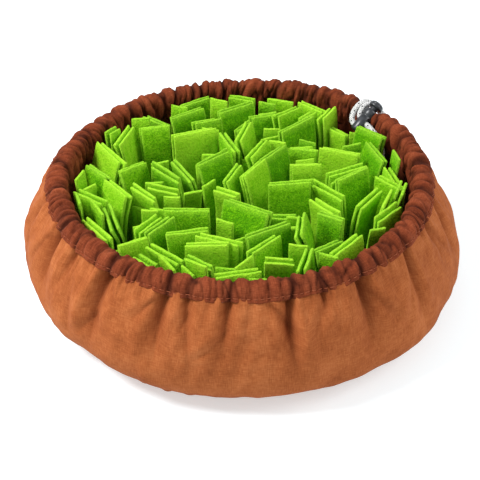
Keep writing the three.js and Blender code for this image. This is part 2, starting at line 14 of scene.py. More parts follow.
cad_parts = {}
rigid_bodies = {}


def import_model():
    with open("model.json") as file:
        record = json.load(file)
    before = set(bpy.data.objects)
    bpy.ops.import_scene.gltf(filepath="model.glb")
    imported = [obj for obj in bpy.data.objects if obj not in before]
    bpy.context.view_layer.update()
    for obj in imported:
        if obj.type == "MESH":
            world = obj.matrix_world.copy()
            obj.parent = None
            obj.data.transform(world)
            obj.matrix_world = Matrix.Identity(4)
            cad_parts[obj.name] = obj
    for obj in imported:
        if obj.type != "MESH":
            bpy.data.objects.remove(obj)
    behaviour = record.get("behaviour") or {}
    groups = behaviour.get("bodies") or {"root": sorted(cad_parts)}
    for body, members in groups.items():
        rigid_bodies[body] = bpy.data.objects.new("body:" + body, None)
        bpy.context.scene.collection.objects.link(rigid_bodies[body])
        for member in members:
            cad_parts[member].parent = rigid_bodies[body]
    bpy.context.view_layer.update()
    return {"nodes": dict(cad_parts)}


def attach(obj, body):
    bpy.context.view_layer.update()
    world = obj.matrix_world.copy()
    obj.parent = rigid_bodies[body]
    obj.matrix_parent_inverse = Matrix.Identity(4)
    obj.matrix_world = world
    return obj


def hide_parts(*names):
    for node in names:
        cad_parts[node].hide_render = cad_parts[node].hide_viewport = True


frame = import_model()
MM = 0.001
TURN = 2 * math.pi
BOWL = "bowl"
BUTTON = "button"

# ---- Sizes shared with the solids ----
CLOTH = 1.5
RIM_RADIUS = 116.5
RIM_HEIGHT = 78.0
RIM_RISE = 3.0
# The dent at the rim's back left: its drop and depth, the degrees over which it starts and ends.
DENT_DROP = 3.2
DENT_IN = 4.0
DENT_START = (45, 102)
DENT_END = (145, 182)
BASE_RADIUS = 122.0
CORD_RADIUS = 2.0
LOCK_ANGLE = math.radians(37.5)
# How far the lock and the strands press the rim down, as a share, and in mm from the lock where
# the rim starts to come up and where it is up: right of it, at hem and crest, and left of it.
LOCK_PRESS = 0.76
STRAND_PRESS = 0.42
HEM_RISE = (4, 11)
CREST_RISE = (2.4, 5.2)
BODY_RISE = (4.5, 8)
STRAND_RISE = (13, 17)
FELT = 2.0
LEAF_GAP = 1.0
FELT_BEND = 36.0


# ---- Small helpers ----
def ramp(x, start, end):
    """0 before start, 1 after end, smooth between them; works on arrays."""
    t = np.clip((x - start) / (end - start), 0, 1)
    return t * t * (3 - 2 * t)


def mix(a, b, share):
    """a at share 0, b at share 1."""
    return a + (b - a) * share


def polar(angle, radius, height):
    """A point from its place round the bowl."""
    return Vector((radius * math.cos(angle), radius * math.sin(angle), height))


def turn_from(start, angles):
    """The turn from one angle to others, from half a turn back to half a turn on."""
    return (angles - start + math.pi) % TURN - math.pi


def bell(x, width, power=2):
    """1 at 0, falling on both sides to a third at width and to nothing past it; works on arrays."""
    return np.exp(-(np.abs(x / width) ** power))


def along_table(table, x):
    """The value at x between the (place, value) rows of a table."""
    places, values = zip(*table)
    return float(np.interp(x, places, values))


def past_lock(angle):
    """How far round the rim from the lock an angle is, in mm, positive to its left."""
    turn = angle - LOCK_ANGLE
    return (turn - TURN * np.round(turn / TURN)) * RIM_RADIUS


def pinch(angle, margin=0.0, crest=1.0):
    """How far the lock and the two strands left of it press the rim down, from 0 to 1.

    The rim's crest (crest 1) comes back up close beside the lock, its hem (crest 0) more slowly.
    margin is how many mm further the cloth stays pressed.
    """
    along = past_lock(angle)
    rise = [mix(hem, top, crest) for hem, top in zip(HEM_RISE, CREST_RISE)]
    right = LOCK_PRESS * (1 - ramp(-along - margin, *rise))
    left = mix(LOCK_PRESS, STRAND_PRESS, ramp(along - margin, *BODY_RISE))
    return np.where(along < 0, right, left * (1 - ramp(along - margin, *STRAND_RISE)))


def rim_dent(angle):
    """How far the rim is pulled in and down at its back left, from 0 to 1."""
    degrees = np.degrees(np.mod(angle, TURN))
    return ramp(degrees, *DENT_START) * (1 - ramp(degrees, *DENT_END))


def rim_rise(angle):
    """How far the rim stands over RIM_HEIGHT: it rises towards the back and drops at the dent."""
    return RIM_RISE / 2 * (1 + np.sin(angle)) - DENT_DROP * rim_dent(angle)


def ring_waves(angle, seed, slowest, fastest, count=9):
    """Smooth uneven waves round the ring, from about -1 to 1, from seeded whole frequencies."""
    rng = random.Random(seed)
    total = np.zeros_like(angle)
    for _ in range(count):
        total = total + np.sin(rng.randint(slowest, fastest) * angle + rng.uniform(0, TURN))
    return total / math.sqrt(count)


def crumple(points, size, seed):
    """Solid noise at each point, from about -1 to 1, with features of that size in mm."""
    shift = Vector((seed * 7.3, seed * 3.1, seed * 5.7))
    flat = points.reshape(-1, 3)
    values = [noise.noise(Vector(p) / size + shift) for p in flat]
    return np.array(values).reshape(points.shape[:-1])


def mesh_piece(name, vertices, faces, uvs=None, body=BOWL):
    """A mesh object from vertices in mm that rides on a body. uvs is one (u, v) per vertex."""
    mesh = bpy.data.meshes.new(name)
    mesh.from_pydata((np.asarray(vertices) * MM).tolist(), [], faces)
    if uvs is not None:
        layer = mesh.uv_layers.new(name="cloth")
        corners = np.zeros(len(mesh.loops), np.int32)
        mesh.loops.foreach_get("vertex_index", corners)
        layer.data.foreach_set("uv", np.asarray(uvs, np.float32)[corners].ravel())
    mesh.polygons.foreach_set("use_smooth", [True] * len(mesh.polygons))
    mesh.update()
    piece = bpy.data.objects.new(name, mesh)
    bpy.context.scene.collection.objects.link(piece)
    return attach(piece, body)


def mark(piece, name, values):
    """Gives each vertex of a piece a value that its material reads."""
    layer = piece.data.attributes.new(name, "FLOAT", "POINT")
    layer.data.foreach_set("value", np.asarray(values, np.float32))


def grid_faces(rows, columns, wrap=True):
    """Quads between the points of a grid stored row by row; wrap joins each row's ends."""
    faces = []
    for i in range(rows - 1):
        here, below = i * columns, (i + 1) * columns
        for j in range(columns if wrap else columns - 1):
            after = (j + 1) % columns
            faces.append((here + j, here + after, below + after, below + j))
    return faces


def lengths_along(points):
    """How far along a line of points each one is."""
    return np.concatenate([[0], np.cumsum(np.linalg.norm(np.diff(points, axis=0), axis=1))])


def spline(table, count):
    """Evenly spaced points on a smooth curve through the table's rows."""
    knots = np.asarray(table, float)
    padded = np.vstack([2 * knots[0] - knots[1], knots, 2 * knots[-1] - knots[-2]])
    fine = []
    for k in range(1, len(padded) - 2):
        a, b, c, d = padded[k - 1 : k + 3]
        for t in np.linspace(0, 1, 24, endpoint=False):
            fine.append(0.5 * (2 * b + (c - a) * t + (2 * a - 5 * b + 4 * c - d) * t**2
                               + (3 * b - a - 3 * c + d) * t**3))
    fine = np.vstack([fine, knots[-1]])
    length = lengths_along(fine)
    wanted = np.linspace(0, length[-1], count)
    return np.stack([np.interp(wanted, length, fine[:, k]) for k in range(knots.shape[1])], axis=1)


def ring_points(angles, radius, height):
    """Points of a grid from its radii and heights, rows first."""
    return np.stack([radius * np.cos(angles), radius * np.sin(angles), height], axis=-1)


def cloth_uvs(u, v):
    """One (u, v) for each point of a grid, from u along its rows and v down its columns."""
    return np.stack(np.broadcast_arrays(u, v), axis=-1).reshape(-1, 2)


def hemmed_band(name, points, edges, uvs, shade):
    """A band of cloth round the bowl from a grid of points, its first and last rows joined to
    the edges' two rings, which give it a thickness there."""
    rows, columns = shade.shape
    count = rows * columns
    last = count - columns
    faces = grid_faces(rows, columns)
    for j in range(columns):
        k = (j + 1) % columns
        faces.append((k, j, count + j, count + k))
        faces.append((last + j, last + k, count + columns + k, count + columns + j))
    vertices = np.vstack([points.reshape(-1, 3), edges.reshape(-1, 3)])
    band = mesh_piece(name, vertices, faces, np.vstack([uvs, uvs[:columns], uvs[-columns:]]))
    # The shade goes to the crease attribute: painted shade that the cloth's material darkens by.
    mark(band, "crease", np.concatenate([shade.ravel(), shade[[0, -1]].ravel()]))
    return band


# ---- Materials ----
def linear(red, green, blue):
    """A display colour of 0 to 255 as a shader colour."""
    parts = [c / 255 for c in (red, green, blue)]
    return [c / 12.92 if c <= 0.04045 else ((c + 0.055) / 1.055) ** 2.4 for c in parts] + [1.0]


class Shade:
    """A short way to write a material's nodes."""

    def __init__(self, name, roughness, sheen=0.0, specular=0.5):
        self.material = bpy.data.materials.new(name)
        self.material.use_nodes = True
        self.tree = self.material.node_tree
        self.shader = self.tree.nodes["Principled BSDF"]
        self.shader.inputs["Roughness"].default_value = roughness
        self.shader.inputs["Specular IOR Level"].default_value = specular
        if sheen:
            self.shader.inputs["Sheen Weight"].default_value = sheen
            self.shader.inputs["Sheen Roughness"].default_value = 0.5

    def node(self, kind, inputs=None, **settings):
        node = self.tree.nodes.new(kind)
        for key, value in settings.items():
            setattr(node, key, value)
        for key, value in (inputs or {}).items():
            self.feed(node.inputs[key], value)
        return node

    def feed(self, socket, value):
        if isinstance(value, bpy.types.NodeSocket):
            self.tree.links.new(value, socket)
        else:
            socket.default_value = value

    def attribute(self, name):
        return self.node("ShaderNodeAttribute", attribute_name=name).outputs["Fac"]

    def math(self, operation, a, b=0.0, c=0.0):
        return self.node("ShaderNodeMath", {0: a, 1: b, 2: c}, operation=operation).outputs[0]

    def place(self, kind):
        """Coordinates in mm: "UV" along the cloth, "Object" in space."""
        coordinates = self.node("ShaderNodeTexCoord").outputs[kind]
        scale = (1.0, 1.0, 1.0) if kind == "UV" else (1 / MM, 1 / MM, 1 / MM)
        return self.node("ShaderNodeMapping", {"Vector": coordinates, "Scale": scale}).outputs[0]

    def stretch(self, vector, scale):
        return self.node("ShaderNodeMapping", {"Vector": vector, "Scale": scale}).outputs[0]

    def noise(self, vector, size, detail=2.0, rough=0.5):
        """Noise from 0 to 1 with features of that size in mm."""
        inputs = {"Vector": vector, "Scale": 1 / size, "Detail": detail, "Roughness": rough}
        return self.node("ShaderNodeTexNoise", inputs).outputs["Fac"]

    def colours(self, factor, *stops):
        """A colour ramp from (position, colour) stops."""
        node = self.node("ShaderNodeValToRGB", {"Fac": factor})
        ramp_stops = node.color_ramp.elements
        while len(ramp_stops) < len(stops):
            ramp_stops.new(0.5)
        for element, (position, colour) in zip(ramp_stops, stops):
            element.position = position
            element.color = colour
        return node.outputs["Color"]

    def blend(self, factor, a, b):
        node = self.node("ShaderNodeMix", data_type="RGBA")
        self.feed(node.inputs[0], factor)
        self.feed(node.inputs[6], a)
        self.feed(node.inputs[7], b)
        return node.outputs[2]

    def relief(self, height, depth, under=None):
        """Bump of that depth in mm; under is the relief that it lies on."""
        inputs = {"Height": height, "Distance": depth * MM, "Strength": 1.0}
        if under is not None:
            inputs["Normal"] = under
        return self.node("ShaderNodeBump", inputs).outputs[0]

    def finish(self, colour, normal=None):
        self.feed(self.shader.inputs["Base Color"], colour)
        if normal is not None:
            self.feed(self.shader.inputs["Normal"], normal)
        return self.material


# A thread's width in mm, and how fast it varies along itself as a share of across itself.
WEAVE_THREAD = 0.6
THREAD_STRETCH = 0.12


def woven(name, deep, dark, middle, light, painted_crease_shade):
    """Plain woven cotton-linen: threads both ways, slow cloudy colour, and painted shade in its creases.

    The tones run from dark to light; deep is the colour of the painted crease shade and the last
    argument its strength.
    """
    deep, dark, middle, light = (linear(*tone) for tone in (deep, dark, middle, light))
    shade = Shade(name, roughness=0.92, specular=0.12)
    cloth = shade.place("UV")
    down = shade.noise(shade.stretch(cloth, (1, THREAD_STRETCH, 1)), WEAVE_THREAD)
    across = shade.noise(shade.stretch(cloth, (THREAD_STRETCH, 1, 1)), WEAVE_THREAD)
    weave = shade.math("MULTIPLY_ADD", down, 0.5, shade.math("MULTIPLY", across, 0.5))
    cloud = shade.noise(cloth, 22, detail=5.0, rough=0.65)
    tone = shade.math("MULTIPLY_ADD", cloud, 0.45, shade.math("MULTIPLY", weave, 0.55))
    colour = shade.colours(tone, (0.36, dark), (0.5, middle), (0.66, light))
    # The crease attribute is painted shade: it darkens the cloth towards deep in creases, pits, dents and
    # towards the wall's foot.
    crease = shade.attribute("crease")
    colour = shade.blend(shade.math("MULTIPLY", crease, painted_crease_shade), colour, deep)
    rumple = shade.noise(cloth, 7, detail=4.0, rough=0.6)
    relief = shade.relief(rumple, 0.5)
    return shade.finish(colour, shade.relief(weave, 0.16, under=relief))


def felt_material():
    """Needle felt: cloudy fibres with a soft sheen, and a paler colour along its cut edges that is a painted
    highlight.
    """
    shade = Shade("felt", roughness=0.95, specular=0.12)
    space = shade.place("Object")
    fibre = shade.noise(space, 0.9, detail=3.0, rough=0.75)
    cloud = shade.noise(space, 3.6, detail=4.0, rough=0.7)
    tone = shade.math("MULTIPLY_ADD", fibre, 0.45, shade.math("MULTIPLY", cloud, 0.33))
    dye = shade.attribute("dye")
    tone = shade.math("MULTIPLY_ADD", dye, 0.22, tone)
    body = shade.colours(tone, (0.39, linear(83, 157, 2)), (0.5, linear(127, 200, 12)),
                         (0.62, linear(161, 220, 42)))
    # The cut attribute is a painted highlight: the cut edges are mixed towards a paler yellow-green.
    cut = shade.attribute("cut")
    colour = shade.blend(shade.math("MULTIPLY", cut, shade.math("MULTIPLY", fibre, 0.9)), body,
                         linear(178, 229, 66))
    pits = shade.noise(space, 1.6, detail=3.0, rough=0.65)
    relief = shade.relief(pits, 1.3)
    return shade.finish(colour, shade.relief(fibre, 0.6, under=relief))


# How many yarns cross the cord's round each way, and how many a mm along it.
YARNS_ROUND = 8.0
YARNS_PER_MM = 0.62


def cord_material():
    """A round braid of white yarns with dark flecks; u runs along it in mm and v round it."""
    shade = Shade("cord", roughness=0.6, sheen=0.2)
    cloth = shade.place("UV")
    split = shade.node("ShaderNodeSeparateXYZ", {"Vector": cloth})
    along, around = split.outputs[0], split.outputs[1]

    def yarns(count):
        """Which yarn of those that turn one way a point lies on, as a running number."""
        return shade.math("MULTIPLY_ADD", around, count, shade.math("MULTIPLY", along, YARNS_PER_MM))

    def ridge(place):
        return shade.math("ABSOLUTE", shade.math("SINE", shade.math("MULTIPLY", place, math.pi)))

    def dark_yarn(place, every):
        number = shade.math("FLOORED_MODULO", shade.math("FLOOR", place), every)
        return shade.math("LESS_THAN", number, 0.5)

    left, right = yarns(YARNS_ROUND), yarns(-YARNS_ROUND)
    yarn = shade.math("MULTIPLY", ridge(left), ridge(right))
    fleck = shade.math("MULTIPLY", dark_yarn(left, 3.0), dark_yarn(right, 4.0))
    fleck = shade.math("MULTIPLY", fleck, shade.math("GREATER_THAN", yarn, 0.22))
    # Grey where the yarns part: painted shade in the grooves between them.
    pale = shade.colours(yarn, (0.0, linear(120, 120, 122)), (0.35, linear(226, 226, 224)),
                         (1.0, linear(250, 250, 248)))
    colour = shade.blend(fleck, pale, linear(24, 24, 28))
    return shade.finish(colour, shade.relief(yarn, 0.35))


def plastic_material():
    """Satin moulded plastic with faint flow marks."""
    shade = Shade("lock_plastic", roughness=0.32)
    space = shade.place("Object")
    haze = shade.noise(space, 2.5, detail=3.0)
    colour = shade.colours(haze, (0.3, linear(30, 32, 35)), (0.7, linear(52, 55, 60)))
    rough = shade.math("MULTIPLY_ADD", haze, 0.2, 0.24)
    shade.feed(shade.shader.inputs["Roughness"], rough)
    return shade.finish(colour, shade.relief(shade.noise(space, 0.5), 0.04))


def thread_material():
    """Twisted sewing thread."""
    shade = Shade("thread", roughness=0.8, specular=0.1)
    space = shade.place("Object")
    twist = shade.noise(space, 0.4)
    colour = shade.colours(twist, (0.3, linear(120, 58, 34)), (0.7, linear(168, 96, 66)))
    return shade.finish(colour, shade.relief(twist, 0.1))


# Each cloth's first tone and last number are the colour and strength of its painted crease shade.
WALL_CLOTH = woven("wall_cloth", (96, 39, 15), (132, 67, 31), (157, 86, 45), (182, 109, 63), 0.65)
CASING_CLOTH = woven("casing_cloth", (42, 12, 4), (88, 36, 19), (120, 55, 30), (152, 79, 49), 0.85)
# The inner cloth's tones are darker than the casing's: painted shade for the inside of the bowl.
INNER_MATERIAL = woven("inner_cloth", (40, 14, 6), (66, 26, 12), (92, 40, 20), (116, 56, 32), 0.0)
FELT_MATERIAL = felt_material()
CORD_MATERIAL = cord_material()
PLASTIC = plastic_material()
THREAD = thread_material()


def dress(piece, material, slot, *replaced):
    """Gives a piece its material and hides the solids that it stands for; slot is not used."""
    piece.data.materials.append(material)
    if replaced:
        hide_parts(*replaced)
    return piece


# ---- Camera ----
CAMERA_DISTANCE = 760
CAMERA_ELEVATION = math.radians(37.2)
CAMERA_TARGET = Vector((0, 0, 24))
CAMERA_LENS = 83.9


def make_camera():
    camera = bpy.data.objects.new("camera", bpy.data.cameras.new("camera"))
    camera.data.lens = CAMERA_LENS
    camera.data.clip_start = 0.05
    back = Vector((0, -math.cos(CAMERA_ELEVATION), math.sin(CAMERA_ELEVATION)))
    camera.location = (CAMERA_TARGET + back * CAMERA_DISTANCE) * MM
    camera.rotation_euler = (math.pi / 2 - CAMERA_ELEVATION, 0, 0)
    bpy.context.scene.collection.objects.link(camera)
    bpy.context.scene.camera = camera


# ---- Cord ----
# The free bight, as mm past the lock, radius and height: out of the casing at the back, over
# the crest, through the lock, a loop inside the bowl, back through the lock and over the
# crest, then round behind the lock and into the casing on its other side.
BIGHT_ROUTE = [
    (40, 116.5, 80.6), (34.5, 119.2, 80.4), (29.5, 125.6, 77.6), (25, 131, 73.8), (20.6, 134, 70.6),
    (16.2, 135.2, 69), (12.4, 134.6, 71), (11, 131.8, 75.6), (11.3, 126.8, 80.8), (11.8, 120.4, 83.8),
    (12, 114.4, 83), (11.7, 109.6, 79.6), (9.4, 106.2, 76.2), (5.2, 104.6, 74.8), (0, 104.5, 74.5),
    (-5, 104.4, 73.4), (-9.8, 104.6, 70), (-12.4, 105.4, 64.8), (-13.8, 106.2, 59.4),
    (-16.8, 106.7, 55.4), (-21, 107.4, 54.2), (-25, 107.5, 56.6), (-27, 107.5, 61.6),
    (-26, 107.5, 67.4), (-21.8, 107.4, 72.2), (-15, 107.2, 75.5), (-7, 107.7, 76.9),
    (-0.8, 108.2, 77.2), (3.4, 108.8, 77.9), (6.6, 111, 80.4), (7.6, 115.4, 83.4), (7.6, 120.4, 83.8),
    (7.5, 125.4, 80.8), (6.6, 130, 75.8), (3.4, 133.6, 70.8), (-1.6, 135.3, 68), (-7.6, 135.2, 67.9),
    (-13.6, 133.2, 71.2), (-19.6, 127.8, 76.4), (-25, 121, 79.6), (-30, 116.6, 80.2),
]
# Where the run inside the casing starts and ends, in mm past the lock.
RUN_FROM = -31.5
RUN_TO = 41.5
BIGHT_STEPS = 440
RUN_STEPS = 361
# The braid's turn per mm, and its relief as a share of the cord's radius.
BRAID_TURN = 4.2
BRAID_RELIEF = 0.03


def bight_knots():
    return [polar(LOCK_ANGLE + s / RIM_RADIUS, r, z) for s, r, z in BIGHT_ROUTE]


def tube(name, centres, radius, sides, relief=0.0):
    """A closed round tube along points in mm, with u along it in mm and v round it; its length."""
    centres = np.asarray(centres, float)
    tangents = np.gradient(centres, axis=0)
    tangents /= np.linalg.norm(tangents, axis=1)[:, None]
    along = lengths_along(centres)
    side = np.cross(tangents[0], (0, 0, 1.0))
    vertices, uvs = [], []
    for i, tangent in enumerate(tangents):
        side = side - tangent * side.dot(tangent)
        side /= np.linalg.norm(side)
        other = np.cross(tangent, side)
        for j in range(sides + 1):
            turn = TURN * j / sides
            twist = along[i] * BRAID_TURN
            weave = 1 + relief * (math.sin(twist + 4 * turn) * math.sin(twist - 4 * turn))
            vertices.append(centres[i] + radius * weave * (side * math.cos(turn) + other * math.sin(turn)))
            uvs.append((along[i], j / sides))
    faces = grid_faces(len(centres), sides + 1, wrap=False)
    rows = len(centres)
    for row, flip in ((0, 1), (rows - 1, -1)):
        faces.append([row * (sides + 1) + j for j in range(sides)][::flip])
    return mesh_piece(name, vertices, faces, uvs), along[-1]


def cord_piece(name, centres, sides, relief, solid, **rest):
    """A length of the drawcord; rest, how it lies and what is on it, is not used."""
    braid, length = tube(name, centres, CORD_RADIUS, sides, relief)
    dress(braid, CORD_MATERIAL, "cord", solid)
    print(f"{name}: {length:.0f} mm")


def make_cords(lock_pieces):
    """The bight that shows and the run round the rim inside the casing."""
    bight = spline(bight_knots(), BIGHT_STEPS)
    cord_piece("drawcord_bight_braid", bight, 20, BRAID_RELIEF, "drawcord_bight", lay="loose",
               with_pieces=lock_pieces)
    first, last = (LOCK_ANGLE + past / RIM_RADIUS for past in (RUN_FROM, RUN_TO))
    angles = np.linspace(first, last - TURN, RUN_STEPS)
    run = ring_points(angles, RIM_RADIUS - DENT_IN * rim_dent(angles), RIM_HEIGHT + rim_rise(angles))
    cord_piece("drawcord_run_braid", run, 12, 0.0, "drawcord_in_casing", lay="taut")


# ---- Cord lock ----
# The radius and height where the lock's axis crosses the rim's inner face, and its tilt upwards.
LOCK_START = (108.6, 77.4)
LOCK_TILT = math.radians(35.6)
LOCK_SIDES = 64
# Profiles: mm along the lock's axis from that place, and radius.
BARREL_PROFILE = [
    (-8.6, 0), (-8.6, 3.2), (-8.3, 4.1), (-7.6, 4.6), (3.4, 4.7), (3.6, 4.5), (4.2, 4.5),
    (4.4, 4.7), (8.2, 4.7), (9.2, 4.5), (9.7, 4.0), (9.8, 3.4), (9.5, 3.05), (3.6, 3.0), (3.6, 0),
]
BUTTON_PROFILE = [
    (6.8, 0), (6.9, 2.4), (7.3, 2.6), (12.0, 2.6), (12.3, 2.9), (12.3, 4.5), (12.5, 5.0), (13.0, 5.2),
    (14.3, 5.2), (14.5, 5.05), (14.6, 4.8), (14.8, 4.75), (15.0, 4.9), (15.3, 4.85), (16.0, 4.2),
    (16.6, 3.1), (16.95, 1.6), (17.0, 0),
]
# How much wider the barrel's strand holes are than the cord, all round.
STRAND_ROOM = 0.9


def lock_axis():
    """The axis's start, and the turn from +Z to the axis."""
    ahead = polar(LOCK_ANGLE, math.cos(LOCK_TILT), math.sin(LOCK_TILT))
    return polar(LOCK_ANGLE, *LOCK_START), ahead.to_track_quat("Z", "Y")


def turned(name, profile, body):
    """A solid of revolution about the lock's axis."""
    start, turn = lock_axis()
    vertices = []
    for along, radius in profile[1:-1]:
        for j in range(LOCK_SIDES):
            vertices.append(start + turn @ polar(TURN * j / LOCK_SIDES, radius, along))
    faces = grid_faces(len(profile) - 2, LOCK_SIDES)
    for (along, _), row, flip in ((profile[0], 0, -1), (profile[-1], len(profile) - 3, 1)):
        vertices.append(start + turn @ Vector((0, 0, along)))
        first, middle = row * LOCK_SIDES, len(vertices) - 1
        for j in range(LOCK_SIDES):
            faces.append([first + j, first + (j + 1) % LOCK_SIDES, middle][::flip])
    return mesh_piece(name, vertices, faces, body=body)


def make_lock():
    """The barrel, with a hole for each strand cut along the cord's course, and the button."""
    barrel = turned("lock_barrel", BARREL_PROFILE, BOWL)
    route = bight_knots()
    lowest = min(range(len(route)), key=lambda i: route[i].z)
    for i, half in enumerate((route[: lowest + 1], route[lowest:])):
        cutter, _ = tube(f"strand_room_{i}", spline(half, 90), CORD_RADIUS + STRAND_ROOM, 24)
        cut = barrel.modifiers.new("strand_hole", "BOOLEAN")
        cut.object = cutter
        cut.operation = "DIFFERENCE"
        cut.solver = "EXACT"
    graph = bpy.context.evaluated_depsgraph_get()
    holed = bpy.data.meshes.new_from_object(barrel.evaluated_get(graph))
    barrel.modifiers.clear()
    barrel.data = holed
    for i in range(2):
        bpy.data.objects.remove(bpy.data.objects[f"strand_room_{i}"])
    button = turned("lock_push_button", BUTTON_PROFILE, BUTTON)
    barrel.data.materials.clear()
    dress(barrel, PLASTIC, "lock_plastic", "lock_body")
    dress(button, PLASTIC, "lock_plastic", "lock_button")
    return [barrel, button]


# ---- Gathers ----
# The wall's folds: degrees round, depth, how far down they show (share of the wall), degrees
# turned at the lower end, and half their width in degrees. FOLD_DEPTH makes the depth mm.
WALL_FOLDS = [
    (4, 3.0, 0.6, -4, 3.0), (18, 2.4, 0.5, 5, 2.6), (33, 4.0, 0.7, 6, 3.2), (46, 3.0, 0.6, -5, 2.8),
    (61, 2.5, 0.5, 4, 2.6), (75, 3.4, 0.6, -4, 3.0), (91, 2.4, 0.5, 5, 2.4), (104, 3.6, 0.7, -6, 3.0),
    (120, 2.6, 0.5, 4, 2.6), (134, 3.2, 0.6, 6, 3.0), (148, 2.6, 0.5, -4, 2.6), (163, 3.4, 0.6, 5, 3.0),
    (177, 3.0, 0.7, -3, 2.4), (191, 3.8, 0.8, -3, 2.8), (208, 4.6, 0.7, -2, 3.2), (218, 2.8, 0.5, -3, 2.2),
    (232, 5.2, 0.8, -5, 3.4), (250, 4.4, 0.7, -4, 3.2), (256, 2.0, 0.8, 3, 2.6), (267, 3.2, 0.6, -5, 2.8),
    (283, 4.6, 0.8, 0, 2.2), (292, 2.4, 0.3, 2, 2.0), (304, 5.2, 0.7, 1, 3.2), (322, 3.0, 0.8, 0, 2.0),
    (336, 2.4, 0.5, 2, 2.4), (347, 2.8, 0.7, 0, 2.2),
]
# The shares of the casing's width where a slight crease may start and stop, and its depth in mm.
WHOLE_REACH = (-1, 2)
CREASE_REACHES = [WHOLE_REACH, (-1, 0.45), (0.08, 0.66), (0.26, 2), (0.36, 2), (-1, 0.58)]
CREASE_DEPTHS = [0.5, 0.9, 1.5, 2.3, 3.0]


def lay_gathers():
    """The creases round the rim, in the order of their angles.

    Each of the wall's folds starts in a deep crease, and slighter ones lie between them. The
    columns are the angle, the depth and half width in mm, how far it slants and how far it bends
    along the rim in mm, and the shares of the casing's width where it starts and stops.
    """
    rng = random.Random(21)
    draw = rng.uniform
    rows = []
    for fold, after in zip(WALL_FOLDS, WALL_FOLDS[1:] + WALL_FOLDS[:1]):
        first = math.radians(fold[0])
        gap = (math.radians(after[0]) - first) % TURN
        slant = draw(-5, 5)
        rows.append((first, 1.8 + 0.25 * fold[1], draw(1.5, 2.1), slant, draw(-2, 2), *WHOLE_REACH))
        behind = float(ramp(math.sin(first), -0.5, 0.4))
        size = mix(draw(3.3, 6), draw(6, 11), behind)
        between = round(gap * RIM_RADIUS / size) - 1
        for k in range(between):
            at = first + gap * (k + 1 + draw(-0.36, 0.36)) / (between + 1)
            reach = rng.choice(CREASE_REACHES)
            depth = rng.choice(CREASE_DEPTHS) * draw(0.8, 1.2) * mix(0.7, 1.1, behind)
            slant = draw(-6.5, 6.5)
            rows.append((at, depth, draw(0.7, 1.4), slant, draw(-2.2, 2.2), *reach))
    return np.array(rows).T


GATHERS = lay_gathers()
# Across the casing: how deep creases are as a share of their depth, and the most mm they may sink.
GATHER_ACROSS = [(0, 0.5), (0.1, 0.8), (0.22, 0.95), (0.34, 0.6), (0.44, 0.45), (0.62, 0.95), (1, 0.7)]
GATHER_LIMIT = [(0, 2.6), (0.2, 3.2), (0.3, 2.1), (0.42, 1.7), (0.56, 2.6), (1, 2.8)]
# The share for the pits of the crumpled cloth, which are deepest inside the crest.
PITS_ACROSS = [(0, 0.5), (0.1, 0.8), (0.22, 1.0), (0.36, 0.8), (0.46, 1.1), (0.58, 1.7), (1, 0.9)]
# Shares of the casing's width over which a crease starts and stops, and the depth at which its painted shade
# is darkest.
CREASE_START = 0.22
CREASE_STOP = 0.25
DARKEST_DEPTH = 2.8
# Creases stay in order, at least this turn apart.
LEAST_TURN = 1e-4
# Puffs between creases: the gap that fills one out, its height, how far the cloth sinks between
# them, and the most that it stands out. Then each kind of pit's size and depth. All in mm.
PUFF_GAP = 8
PUFF_HEIGHT = 0.75
PUFF_SINK = 0.4
PUFF_LIMIT = 2.1
PIT_SIZE = 6.5
PIT_DEPTH = 3.6
SMALL_PIT_SIZE = 2.7
SMALL_PIT_DEPTH = 1.5


def gather_row(angles, share):
    """Swell in mm and shade from 0 to 1 of the gathered cloth along one row round the rim."""
    at, depth, half, slant, bend, start, stop = GATHERS
    at = at + (slant * (share - 0.1) + bend * math.sin(7 * share)) / RIM_RADIUS
    order = np.arange(len(at))
    count = len(at)
    at = np.maximum.accumulate(at + LEAST_TURN * order)
    at = np.minimum(at, at[0] + TURN - LEAST_TURN * (count - order))
    depth = depth * ramp(share, start, start + CREASE_START) * (1 - ramp(share, stop - CREASE_STOP, stop))
    fences = np.concatenate([at[-1:] - TURN, at, at[:1] + TURN, at[1:2] + TURN])
    place = np.interp(np.mod(angles, TURN), fences, np.arange(-1, count + 2))
    before = np.floor(place).astype(int)
    part = place - before
    gap = (fences[before + 2] - fences[before + 1]) * RIM_RADIUS
    # shade is painted shade: darkest in and beside each crease, by its depth.
    valley, shade = 0.0, 0.0
    for crease, away in ((before % count, part * gap), ((before + 1) % count, (1 - part) * gap)):
        valley = valley + depth[crease] * bell(away, half[crease], 1.3)
        shade = shade + depth[crease] * bell(away, 1.25 * half[crease], 1.6)
    puff = (4 * part * (1 - part)) ** 0.75 * np.minimum(gap / PUFF_GAP, 1.3)
    swell = PUFF_HEIGHT * puff - PUFF_SINK - valley * along_table(GATHER_ACROSS, share)
    return swell, np.clip(shade / DARKEST_DEPTH, 0, 1)


def crumpled_row(angles, share):
    """The gathers with the small puffs and pits into which the drawn-up cloth twists."""
    swell, shade = gather_row(angles, share)
    slant = 0.1 * ring_waves(angles, 23, 2, 9) * (share - 0.3)
    band = ring_points(angles + slant, RIM_RADIUS, np.full_like(angles, 12 * share))
    pits = np.abs(crumple(band * (1, 1, 0.8), PIT_SIZE, 5))
    small = np.abs(crumple(band, SMALL_PIT_SIZE, 9))
    puffs = PIT_DEPTH * (pits**0.75 - 0.28) + SMALL_PIT_DEPTH * (small**0.8 - 0.22)
    swell = swell + puffs * along_table(PITS_ACROSS, share)
    # Painted shade in the pits' hollows, stronger towards the inner side.
    dark = (0.55 + 0.35 * ramp(share, 0.4, 0.6)) * ramp(share, 0.03, 0.14)
    shade = shade + dark * bell(pits, 0.1, 1.4)
    limit = np.where(swell < 0, along_table(GATHER_LIMIT, share), PUFF_LIMIT)
    return limit * np.tanh(swell / limit), np.clip(shade, 0, 1)


